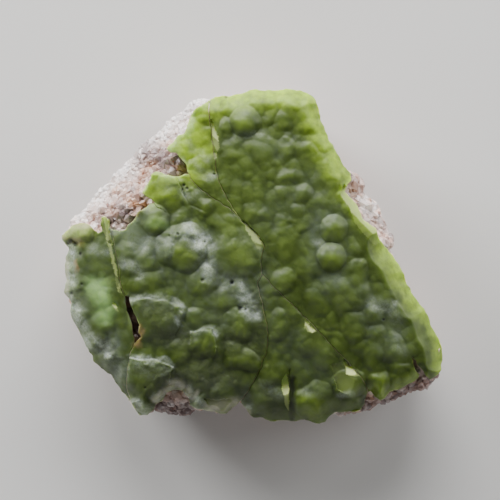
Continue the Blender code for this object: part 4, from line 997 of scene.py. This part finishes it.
def crust_piece(name, outline, lift, settings, material):
    """One piece of crust between cracks, finely meshed and painted with its own masks."""
    step = settings.mesh_step / MILLIMETRE * 2**SPLITS
    outline = anticlockwise(line_array(outline))
    ring = spaced(outline + inward(outline) * settings.half_crack / MILLIMETRE, step)
    flat, triangles, loop = flat_patch(ring, step, SPLITS)
    near = closeness(flat, ring, 1.2, True)[:, None]
    flat = flat + near * (wandering(flat, *EDGE_BENT) - flat)
    height, fresh = crust_top(flat, flat[loop], lift, settings.grain / MILLIMETRE)
    top = np.column_stack([flat, height])
    edge = top[loop]
    foot = crust_under(edge[:, :2]) - FOOT_DEPTH
    into = inward(edge[:, :2])
    seed = 100 + list(CRUST_PIECES).index(name)
    rows = []
    for share in np.linspace(0, 1, WALL_ROWS + 1)[1:]:
        row = edge.copy()
        row[:, 2] = edge[:, 2] + (foot - edge[:, 2]) * share
        ragged = relief(row, [(1.1, 0.22, seed), (0.4, 0.1, seed + 50)])
        row[:, :2] += into * ((ragged + 0.25) * min(1, share * 4))[:, None]
        rows.append(row)
    obj = closed_solid(
        name, top, triangles, loop, rows, edge, lambda p: crust_under(p) - FOOT_DEPTH,
        CRUST_UNDER_STEP, material)
    obj.data.set_sharp_from_angle(angle=math.radians(60))
    points, normals = mesh_arrays(obj)
    place = points[:, :2]
    walls = smoothstep((0.45 - normals[:, 2]) / 0.3)
    facing_key_light = smoothstep((normals[:, 1] - 0.1) / 0.5)
    patchy = 0.55 + 0.45 * smooth_noise(points, 1.5, 91)
    own_fresh = np.zeros(len(points))
    own_fresh[: len(fresh)] = fresh
    # Frost mask: white bloom, painted sheen on the sides facing the key light, and painted highlights on
    # the plates' crests
    frost = SHEEN_ON_LIT_SIDES * facing_key_light * patchy + painted(place, FROST_AND_HIGHLIGHTS) * patchy * 1.2
    # Where the lumps are painted as lit through: a painted glow in their clear middles
    clear = crown(place)
    # Cloudiness kept off the glow, so it also paints sheen on the upper sides of the lumps
    misty = painted(place, MISTY_AND_SHEEN) * (1 - clear) * (0.8 + 0.4 * smooth_noise(points, 0.8, 92))
    pitted = np.max([pit for _, pit in pits(place, 1.25)], axis=0)
    store(obj, "frost", np.clip(frost, 0, 1))
    store(obj, "fresh", np.clip(np.maximum(own_fresh, PALE_WALLS * walls), 0, 1))
    store(obj, "crown", clear)
    store(obj, "misty", misty)
    store(obj, "bone", painted(place, BONE, 0.3))
    store(obj, "pit", pitted * (0.7 + 0.3 * smooth_noise(points, 0.3, 93)))
    for mask, strokes in CRUST_MASKS.items():
        store(obj, mask, painted(place, strokes))
    return obj


def rock_block(settings, material):
    """The rock: its bed under the crust, bare slopes and broken sides, finely meshed."""
    step = settings.mesh_step / MILLIMETRE * 2**SPLITS
    ring = spaced(anticlockwise(line_array(ROCK_RIM)), step)
    flat, triangles, loop = flat_patch(ring, step, SPLITS)
    height, bare = rock_top(flat)
    top = np.column_stack([flat, height])
    rim = top[loop]
    middle = np.array([BASE_X, BASE_Y])
    rows = [side_row(rim, middle, down) for down in np.linspace(0, 1, SIDE_ROWS + 1)[1:]]
    obj = closed_solid(
        "matrix_rock", top, triangles, loop, rows, rows[-1], lambda p: np.zeros(len(p)),
        ROCK_UNDER_STEP, material)
    points, normals = mesh_arrays(obj)
    cover = np.ones(len(points))
    cover[: len(bare)] = bare
    store(obj, "bare", cover * (points[:, 2] > BARE_ABOVE))
    return obj


def side_row(rim, middle, down):
    """A row of points round the rock's side, broken into slanted faces and ledges."""
    place = rim.copy()
    place[:, 2] = rim[:, 2] * (1 - down)
    cell, across = nearest_block(place / BLOCK_SIZE)
    table = np.random.default_rng(7).uniform(-1, 1, BLOCK_TABLE)
    chance = [table[cell * (i + 3) % BLOCK_TABLE] for i in range(3)]
    step = chance[0] * BLOCK_STEP + (chance[1] * across[:, 2] + chance[2] * across[:, 0]) * BLOCK_SLANT
    spoke = rim[:, :2] - middle
    reach = np.linalg.norm(spoke, axis=1)
    tuck = reach * BASE_INSET * down**WALL_TUCK
    early = min(1, 3 * down)
    out = np.minimum((step + relief(place, SIDE_RELIEF)) * early, tuck + 0.2)
    place[:, :2] = middle + spoke * ((reach - tuck + out) / reach)[:, None]
    if down < 1:
        place[:, 2] += early * 0.3 * smooth_noise(place, 1.6, 85) * min(1, place[:, 2].min() + 1)
    return place


def nearest_block(points):
    """For each point, a number for the block of rock it is in and its place in that block."""
    cell = np.floor(points).astype(int)
    table = np.random.default_rng(12).uniform(0, 1, (BLOCK_TABLE, 3))
    best = np.full(len(points), np.inf)
    number = np.zeros(len(points), int)
    across = np.zeros(points.shape)
    for corner in np.ndindex(3, 3, 3):
        other = cell + np.array(corner) - 1
        key = (other * CELL_STEPS).sum(1) % BLOCK_TABLE
        offset = points - other - table[key]
        away = np.linalg.norm(offset, axis=1)
        closer = away < best
        best[closer], number[closer], across[closer] = away[closer], key[closer], offset[closer]
    return number, across


def crystal_mesh(name, sides, rings):
    """A closed prismatic crystal along Z, through rings of (height, radius, turn in degrees)."""
    mesh = bmesh.new()
    rows = []
    for height, radius, turn in rings:
        if radius == 0:
            rows.append([mesh.verts.new((0, 0, height))] * sides)
            continue
        angles = [2 * math.pi * i / sides + math.radians(turn) for i in range(sides)]
        rows.append([mesh.verts.new((radius * math.cos(a), radius * math.sin(a), height)) for a in angles])
    for lower, upper in zip(rows, rows[1:]):
        for i in range(sides):
            j = (i + 1) % sides
            mesh.faces.new(tuple(dict.fromkeys((lower[i], lower[j], upper[j], upper[i]))))
    mesh.faces.new(rows[0][::-1])
    if rings[-1][1] > 0:
        mesh.faces.new(rows[-1])
    data = bpy.data.meshes.new(name)
    mesh.to_mesh(data)
    mesh.free()
    return data


# Nodes and shader maths


def add_node(tree, kind, settings, sockets):
    """Adds a node to a tree, with its settings first and then its sockets' values or links."""
    node = tree.nodes.new(kind)
    for name, value in (settings or {}).items():
        setattr(node, name, value)
    for name, value in (sockets or {}).items():
        if isinstance(value, bpy.types.NodeSocket):
            tree.links.new(value, node.inputs[name])
        else:
            node.inputs[name].default_value = value
    return node


class Value:
    """A shader socket. Python's operators on it add Math nodes."""

    def __init__(self, finish, socket):
        self.finish = finish
        self.socket = socket

    def maths(self, operation, first, second):
        """A Math node that works on two values."""
        return self.finish.node("ShaderNodeMath", {"operation": operation}, {0: first, 1: second})

    def __add__(self, other):
        return self.maths("ADD", self, other)

    def __radd__(self, other):
        return self.maths("ADD", other, self)

    def __sub__(self, other):
        return self.maths("SUBTRACT", self, other)

    def __rsub__(self, other):
        return self.maths("SUBTRACT", other, self)

    def __mul__(self, other):
        return self.maths("MULTIPLY", self, other)

    def __rmul__(self, other):
        return self.maths("MULTIPLY", other, self)

    def __pow__(self, other):
        return self.maths("POWER", self, other)


class Finish:
    """A material and the nodes that are added to it."""

    def __init__(self, name):
        self.material = bpy.data.materials.new(name)
        self.material.use_nodes = True
        self.tree = self.material.node_tree
        self.tree.nodes.clear()
        self.place = self.node("ShaderNodeTexCoord", out="Object")

    def node(self, kind, settings=None, sockets=None, out=0):
        """Adds a node of any kind and gives back one of its outputs."""
        sockets = {k: v.socket if isinstance(v, Value) else v for k, v in (sockets or {}).items()}
        return Value(self, add_node(self.tree, kind, settings, sockets).outputs[out])

    def noise(self, millimetres, detail=2.0, roughness=0.5):
        """Noise whose marks are about the given size."""
        return self.node("ShaderNodeTexNoise", None, {
            "Vector": self.place, "Scale": 1000 / millimetres, "Detail": detail, "Roughness": roughness})

    def ramp(self, value, low, high):
        """The value passed through a ramp that is 0 up to one level and 1 from another on."""
        ramp = self.node("ShaderNodeValToRGB", None, {0: value})
        stops = ramp.socket.node.color_ramp.elements
        stops[0].position, stops[1].position = low, high
        return ramp

    def mix(self, factor, first, second):
        """One colour fading into another."""
        first, second = (c if isinstance(c, Value) else (*c[:3], 1) for c in (first, second))
        return self.node("ShaderNodeMix", {"data_type": "RGBA"}, {0: factor, 6: first, 7: second}, 2)

    def mask(self, name):
        """A mask that is stored on the mesh."""
        return self.node("ShaderNodeAttribute", {"attribute_name": name}, out="Fac")

    def surface(self, **sockets):
        """Ends the material in one Principled surface."""
        sockets = {name.replace("_", " "): value for name, value in sockets.items()}
        shader = self.node("ShaderNodeBsdfPrincipled", {"subsurface_method": "RANDOM_WALK"}, sockets)
        add_node(self.tree, "ShaderNodeOutputMaterial", None, {"Surface": shader.socket})
        return self.material

    def bump(self, heights, strength, distance):
        """The surface's direction, bent by fine bumps."""
        return self.node(
            "ShaderNodeBump", None, {"Height": heights, "Strength": strength, "Distance": distance})


def crust_finish(settings):
    """Waxy, translucent green with frost, fresh chips, grey weathering, stains, black pits, painted glow,
    sheen and shade.
    """
    finish = Finish("phosphohedyphane crust")
    cloudy = finish.ramp(finish.noise(5.0, 3.0), 0.42, 0.74)
    mottled = finish.ramp(finish.noise(1.3, 3.0, 0.6), 0.35, 0.7)
    sugary = finish.noise(0.28, 2.0, 0.6)
    grainy = finish.ramp(finish.noise(0.5, 3.0, 0.7), 0.38, 0.62)
    speckled = finish.ramp(finish.noise(0.55, 2.0, 0.7), 0.6, 0.68)
    frost = finish.mask("frost")
    weathered = finish.mask("weathered")
    colour = finish.mix(cloudy * 0.7 + mottled * 0.3, settings.deep, settings.light)
    # Painted glow of light shining through the lumps
    colour = finish.mix(finish.mask("crown") * 0.75, colour, settings.clear)
    # Thin edges: their yellow hue with a painted glow of light through them
    yellow = finish.mask("yellow") * (0.35 + mottled * 0.35 + cloudy * 0.3)
    colour = finish.mix(yellow, colour, settings.yellow)
    colour = finish.mix(finish.mask("cool") * 0.85, colour, COOL)
    # Cloudy grey-green with painted sheen
    colour = finish.mix(finish.mask("misty") * (0.55 + cloudy * 0.35), colour, settings.mist_and_sheen)
    # Grey weathering and painted shade
    colour = finish.mix(weathered * (0.45 + mottled * 0.4), colour, GREY_AND_SHADE)
    # White frost mixed with painted sheen and highlights
    colour = finish.mix(frost * (0.38 + grainy * 0.4), colour, settings.frost)
    colour = finish.mix(finish.mask("fresh") * 0.85, colour, PALE_CHIP)
    colour = finish.mix(finish.mask("bone") * (0.5 + mottled * 0.5), colour, BONE_WHITE)
    colour = finish.mix(finish.mask("stained") * (0.5 + mottled * 0.5), colour, RUST)
    colour = finish.mix(weathered * speckled * 0.55, colour, DARK_SPECK)
    colour = finish.mix(finish.mask("pit"), colour, PIT_BLACK)
    bumps = finish.noise(0.5, 3.0, 0.6) * 0.6 + sugary * (0.15 + frost * 0.5 + weathered * 0.6)
    return finish.surface(
        Base_Color=colour, Roughness=0.42 + frost * 0.18 + weathered * 0.16, IOR=1.5,
        Specular_IOR_Level=0.27, Subsurface_Weight=0.8, Subsurface_Radius=(0.85, 1.0, 0.35),
        Subsurface_Scale=0.0026, Normal=finish.bump(bumps, 0.22, 0.00012))


def quartz_finish(settings, name, grains):
    """Granular quartz, milky to smoke-grey, with rusty stains in its hollows, painted shade below the crust
    and a painted highlight on its lit rim.
    """
    finish = Finish(name)
    mottled = finish.ramp(finish.noise(1.6, 3.0, 0.6), 0.35, 0.7)
    pink = finish.ramp(finish.noise(3.4, 2.0), 0.4, 0.65)
    colour = finish.mix(pink * 0.8, settings.quartz, ORANGE_PINK)
    if grains:
        colour = finish.mix(finish.mask("grain") ** 3 * 0.7, colour, MILKY)
        colour = finish.mix(finish.mask("clear") ** 2 * 0.8, colour, GLASSY)
    # White quartz and painted highlight on the lit rim
    colour = finish.mix(finish.mask("white") * 0.8, colour, SNOWY_AND_HIGHLIGHT)
    # Smoky quartz and painted shade
    colour = finish.mix(finish.mask("smoky") * (0.7 + mottled * 0.3), colour, settings.smoky)
    colour = finish.mix(finish.mask("iron") * (0.3 + mottled * 0.7), colour, settings.iron)
    if not grains:
        colour = finish.mix(0.55 + mottled * 0.2, colour, BARE_BROWN)
    return finish.surface(
        Base_Color=colour, Roughness=(0.12 if grains else 0.55) + mottled * 0.2, IOR=1.55,
        Subsurface_Weight=0.35, Subsurface_Radius=(1.0, 0.9, 0.85), Subsurface_Scale=0.0008,
        Normal=finish.bump(finish.noise(0.35, 3.0, 0.6), 0.25, 0.0001))


def floor_finish(colour):
    """Plain matt floor with the faintest unevenness."""
    finish = Finish("pale floor")
    tone = finish.mix(finish.noise(60.0, 2.0) * 0.15, colour, [c * 0.93 for c in colour])
    return finish.surface(Base_Color=tone, Roughness=0.75)


# Quartz grains


def grain_tree(shapes, material):
    """Geometry nodes that grow crystals of several shapes all over a bare surface."""
    tree = bpy.data.node_groups.new("quartz grains", "GeometryNodeTree")
    tree.interface.new_socket("Rock", in_out="INPUT", socket_type="NodeSocketGeometry")
    for name in ("Spacing", "Radius", "Tilt"):
        tree.interface.new_socket(name, in_out="INPUT", socket_type="NodeSocketFloat")
    tree.interface.new_socket("Seed", in_out="INPUT", socket_type="NodeSocketInt")
    tree.interface.new_socket("Grains", in_out="OUTPUT", socket_type="NodeSocketGeometry")

    def node(kind, settings=None, sockets=None):
        return add_node(tree, kind, settings, sockets)

    given = node("NodeGroupInput").outputs
    bare = node("GeometryNodeInputNamedAttribute", {"data_type": "FLOAT"}, {"Name": "bare"}).outputs[0]
    scatter = node("GeometryNodeDistributePointsOnFaces", {"distribute_method": "POISSON"}, {
        "Mesh": given["Rock"], "Distance Min": given["Spacing"], "Density Factor": bare,
        "Density Max": GRAIN_DENSITY / MILLIMETRE**2, "Seed": given["Seed"]})
    tilt = node("FunctionNodeRandomValue", {"data_type": "FLOAT_VECTOR"}, {
        "Min": (-1, -1, 0), "Max": (1, 1, 2 * math.pi), "Seed": 1})
    lean = node("ShaderNodeCombineXYZ", None, {0: given["Tilt"], 1: given["Tilt"], 2: 1.0})
    turned = node("ShaderNodeVectorMath", {"operation": "MULTIPLY"}, {
        0: tilt.outputs[0], 1: lean.outputs[0]})
    spin = node("FunctionNodeEulerToRotation", None, {"Euler": turned.outputs[0]})
    aim = node("FunctionNodeRotateRotation", {"rotation_space": "LOCAL"}, {
        "Rotation": scatter.outputs["Rotation"], "Rotate By": spin.outputs[0]})
    stretch = node("FunctionNodeRandomValue", {"data_type": "FLOAT_VECTOR"}, {
        "Min": (0.75, 0.75, 0.65), "Max": (1.1, 1.1, 1.2), "Seed": 2})
    size = node("FunctionNodeRandomValue", {"data_type": "FLOAT"}, {"Min": 0.6, "Max": 1.2, "Seed": 3})
    sizes = node("ShaderNodeVectorMath", {"operation": "SCALE"}, {
        0: stretch.outputs[0], "Scale": size.outputs["Value"]})
    coarse = node("GeometryNodeInputNamedAttribute", {"data_type": "FLOAT"}, {"Name": "coarse"}).outputs[0]
    bigger = node("ShaderNodeMath", {"operation": "MULTIPLY"}, {0: coarse, 1: given["Radius"]})
    scale = node("ShaderNodeVectorMath", {"operation": "SCALE"}, {
        0: sizes.outputs[0], "Scale": bigger.outputs[0]})
    pick = node("GeometryNodeCollectionInfo", None, {
        "Collection": shapes, "Separate Children": True, "Reset Children": True})
    grains = node("GeometryNodeInstanceOnPoints", None, {
        "Points": scatter.outputs["Points"], "Instance": pick.outputs[0], "Pick Instance": True,
        "Rotation": aim.outputs[0], "Scale": scale.outputs[0]})
    for name, seed in (("grain", 5), ("clear", 9)):
        own = node("FunctionNodeRandomValue", {"data_type": "FLOAT"}, {"Seed": seed})
        grains = node("GeometryNodeStoreNamedAttribute", {"data_type": "FLOAT", "domain": "INSTANCE"}, {
            "Geometry": grains.outputs[0], "Name": name, "Value": own.outputs["Value"]})
    real = node("GeometryNodeRealizeInstances", None, {"Geometry": grains.outputs[0]})
    dressed = node("GeometryNodeSetMaterial", None, {"Geometry": real.outputs[0], "Material": material})
    node("NodeGroupOutput", None, {"Grains": dressed.outputs[0]})
    return tree


def paint_rock(obj):
    """Keeps the masks of smoke-grey quartz with painted shade, of iron stains, and of white quartz with a
    painted highlight, on a piece of rock.
    """
    points = mesh_arrays(obj)[0]
    place = points[:, :2]
    # White quartz with a painted highlight on the lit rim, only high on the rock
    store(obj, "white", painted(place, WHITE_AND_HIGHLIGHT) * smoothstep((points[:, 2] - 4) / 4))
    store(obj, "smoky", painted(place, SMOKY_AND_SHADED))
    store(obj, "iron", painted(place, IRON))


def finish_piece(obj, node=None):
    """Lets a finished piece ride with the specimen, in place of its CAD node if it has one."""
    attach(obj, "root")
    if node:
        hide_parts(node)


class SPECIMEN_OT_crust(bpy.types.Operator):
    """Builds the pieces of crust between the cracks"""

    bl_idname = "specimen.crust"
    bl_label = "Crust"

    def execute(self, context):
        settings = context.scene.specimen_crust
        material = crust_finish(settings)
        for name, (outline, lift) in CRUST_PIECES.items():
            piece = crust_piece(name, outline, lift, settings, material)
            piece.name = name + "_lumps"
            finish_piece(piece, name)
        return {"FINISHED"}


class SPECIMEN_OT_rock(bpy.types.Operator):
    """Builds the block of rock that carries the crust"""

    bl_idname = "specimen.rock"
    bl_label = "Rock"

    def execute(self, context):
        settings = context.scene.specimen_rock
        rock = rock_block(settings, quartz_finish(settings, "quartz rock", False))
        paint_rock(rock)
        points = mesh_arrays(rock)[0]
        # The grains are coarser on the right-hand rock and under the strokes of smoke-grey quartz and
        # painted shade
        right = smoothstep((points[:, 0] - 17) / 2) * smoothstep((points[:, 1] - 1) / 2)
        smoky = painted(points[:, :2], SMOKY_AND_SHADED)
        store(rock, "coarse", 1 + 0.6 * right + 0.35 * smoky + 0.5 * smooth_noise(points, 2.6, 88))
        finish_piece(rock, "matrix")
        return {"FINISHED"}


class SPECIMEN_OT_grains(bpy.types.Operator):
    """Grows quartz grains over the bare rock"""

    bl_idname = "specimen.grains"
    bl_label = "Quartz grains"

    def execute(self, context):
        settings = context.scene.specimen_rock
        rock = bpy.data.objects["matrix_rock"]
        material = quartz_finish(settings, "quartz grains", True)
        shapes = bpy.data.collections.new("grain shapes")
        for template in GRAIN_SHAPES:
            data = crystal_mesh(*template)
            shapes.objects.link(bpy.data.objects.new(data.name, data))
        tree = grain_tree(shapes, material)
        source = bpy.data.objects.new("grain source", rock.data)
        context.scene.collection.objects.link(source)
        modifier = source.modifiers.new("grains", "NODES")
        modifier.node_group = tree
        values = {
            "Spacing": settings.grain_spacing, "Radius": settings.grain_radius, "Tilt": GRAIN_TILT,
            "Seed": settings.seed,
        }
        for item in tree.interface.items_tree:
            if item.in_out == "INPUT" and item.name in values:
                modifier[item.identifier] = values[item.name]
        context.view_layer.update()
        evaluated = source.evaluated_get(context.evaluated_depsgraph_get())
        mesh = bpy.data.meshes.new_from_object(evaluated)
        source.modifiers.remove(modifier)
        bpy.data.objects.remove(source)
        for shape in list(shapes.objects):
            bpy.data.objects.remove(shape)
        bpy.data.collections.remove(shapes)
        grains = bpy.data.objects.new("quartz_grains", mesh)
        context.scene.collection.objects.link(grains)
        if len(mesh.polygons) == 0:
            raise RuntimeError("no quartz grains grew")
        paint_rock(grains)
        finish_piece(grains)
        return {"FINISHED"}


class SPECIMEN_OT_crystals(bpy.types.Operator):
    """Grows the largest quartz crystals on the bare rock"""

    bl_idname = "specimen.crystals"
    bl_label = "Quartz crystals"

    def execute(self, context):
        mesh = bmesh.new()
        template = crystal_mesh(*CRYSTAL_SHAPE)
        for x, y, radius, length, lean_x, lean_y, twist in BIG_CRYSTALS:
            foot = Vector((x, y, rock_top(np.array([[x, y]]))[0][0])) * MILLIMETRE
            turn = Vector((lean_x, lean_y, 1)).to_track_quat("Z", "Y").to_matrix().to_4x4()
            across, along = math.cos(math.radians(twist)), math.sin(math.radians(twist))
            start = len(mesh.verts)
            mesh.from_mesh(template)
            mesh.verts.ensure_lookup_table()
            for vertex in mesh.verts[start:]:
                side, front, up = vertex.co
                sized = Vector((side * radius, front * radius, up * length)) * MILLIMETRE
                spun = (sized.x * across - sized.y * along, sized.x * along + sized.y * across, sized.z)
                vertex.co = foot + turn @ Vector(spun)
        data = bpy.data.meshes.new("quartz_crystals")
        mesh.to_mesh(data)
        mesh.free()
        data.materials.append(bpy.data.materials["quartz grains"])
        crystals = bpy.data.objects.new("quartz_crystals", data)
        context.scene.collection.objects.link(crystals)
        points = mesh_arrays(crystals)[0]
        store(crystals, "grain", 0.5 + 0.5 * smooth_noise(points, 2.0, 5))
        store(crystals, "clear", 0.3 + 0.3 * smooth_noise(points, 1.5, 6))
        paint_rock(crystals)
        finish_piece(crystals)
        return {"FINISHED"}


def area_light(name, place, power, size):
    """A soft square light at a place in metres, aimed at the specimen."""
    light = bpy.data.lights.new(name, "AREA")
    light.shape = "SQUARE"
    light.size = size
    light.energy = power
    obj = bpy.data.objects.new(name, light)
    obj.location = place
    obj.rotation_euler = (Vector(AIM) - Vector(place)).to_track_quat("-Z", "Y").to_euler()
    obj.visible_camera = False
    bpy.context.scene.collection.objects.link(obj)


class SPECIMEN_OT_studio(bpy.types.Operator):
    """Sets up the floor, the lights and the camera"""

    bl_idname = "specimen.studio"
    bl_label = "Studio"

    def execute(self, context):
        settings = context.scene.specimen_studio
        mesh = bpy.data.meshes.new("floor")
        mesh.from_pydata([(-2, -2, 0), (2, -2, 0), (2, 2, 0), (-2, 2, 0)], [], [(0, 1, 2, 3)])
        mesh.materials.append(floor_finish(settings.floor))
        floor = bpy.data.objects.new("floor", mesh)
        context.scene.collection.objects.link(floor)
        for name, setting, share, place, size in LIGHTS:
            area_light(name, place, getattr(settings, setting) * share, size)
        world = bpy.data.worlds.new("studio")
        world.use_nodes = True
        background = world.node_tree.nodes["Background"].inputs
        background["Color"].default_value = (*SKY, 1)
        background["Strength"].default_value = SKY_STRENGTH
        context.scene.world = world
        camera = bpy.data.cameras.new("camera")
        camera.sensor_width = SENSOR_WIDTH
        camera.lens = SENSOR_WIDTH * VIEW_DISTANCE / VIEW_WIDTH
        view = bpy.data.objects.new("camera", camera)
        view.location = Vector((VIEW_X, VIEW_Y, VIEW_LEVEL + VIEW_DISTANCE)) * MILLIMETRE
        context.scene.collection.objects.link(view)
        context.scene.camera = view
        return {"FINISHED"}


class SPECIMEN_PT_panel(bpy.types.Panel):
    """Lists the specimen's pieces and settings"""

    bl_idname = "SPECIMEN_PT_panel"
    bl_label = "Specimen"
    bl_space_type = "VIEW_3D"
    bl_region_type = "UI"
    bl_category = "Specimen"

    def draw(self, context):
        for owner, operators in PANEL_ROWS:
            box = self.layout.box()
            settings = getattr(context.scene, owner)
            for name in settings.bl_rna.properties.keys():
                if name not in ("rna_type", "name"):
                    box.prop(settings, name)
            for operator in operators:
                box.operator(operator.bl_idname)


PANEL_ROWS = [
    ("specimen_crust", [SPECIMEN_OT_crust]),
    ("specimen_rock", [SPECIMEN_OT_rock, SPECIMEN_OT_grains, SPECIMEN_OT_crystals]),
    ("specimen_studio", [SPECIMEN_OT_studio]),
]
SETTINGS = {
    "specimen_crust": CrustSettings, "specimen_rock": RockSettings, "specimen_studio": StudioSettings,
}
CLASSES = [
    *SETTINGS.values(), SPECIMEN_OT_crust, SPECIMEN_OT_rock, SPECIMEN_OT_grains, SPECIMEN_OT_crystals,
    SPECIMEN_OT_studio, SPECIMEN_PT_panel,
]


def register():
    """Adds the classes and the scene's settings to Blender."""
    for cls in CLASSES:
        bpy.utils.register_class(cls)
    for name, cls in SETTINGS.items():
        setattr(bpy.types.Scene, name, PointerProperty(type=cls))


def unregister():
    """Takes them away again."""
    for name in SETTINGS:
        delattr(bpy.types.Scene, name)
    for cls in reversed(CLASSES):
        bpy.utils.unregister_class(cls)


def main():
    """Builds every piece and the studio."""
    register()
    bpy.ops.specimen.crust()
    bpy.ops.specimen.rock()
    bpy.ops.specimen.grains()
    bpy.ops.specimen.crystals()
    bpy.ops.specimen.studio()


if __name__ == "__main__":
    main()
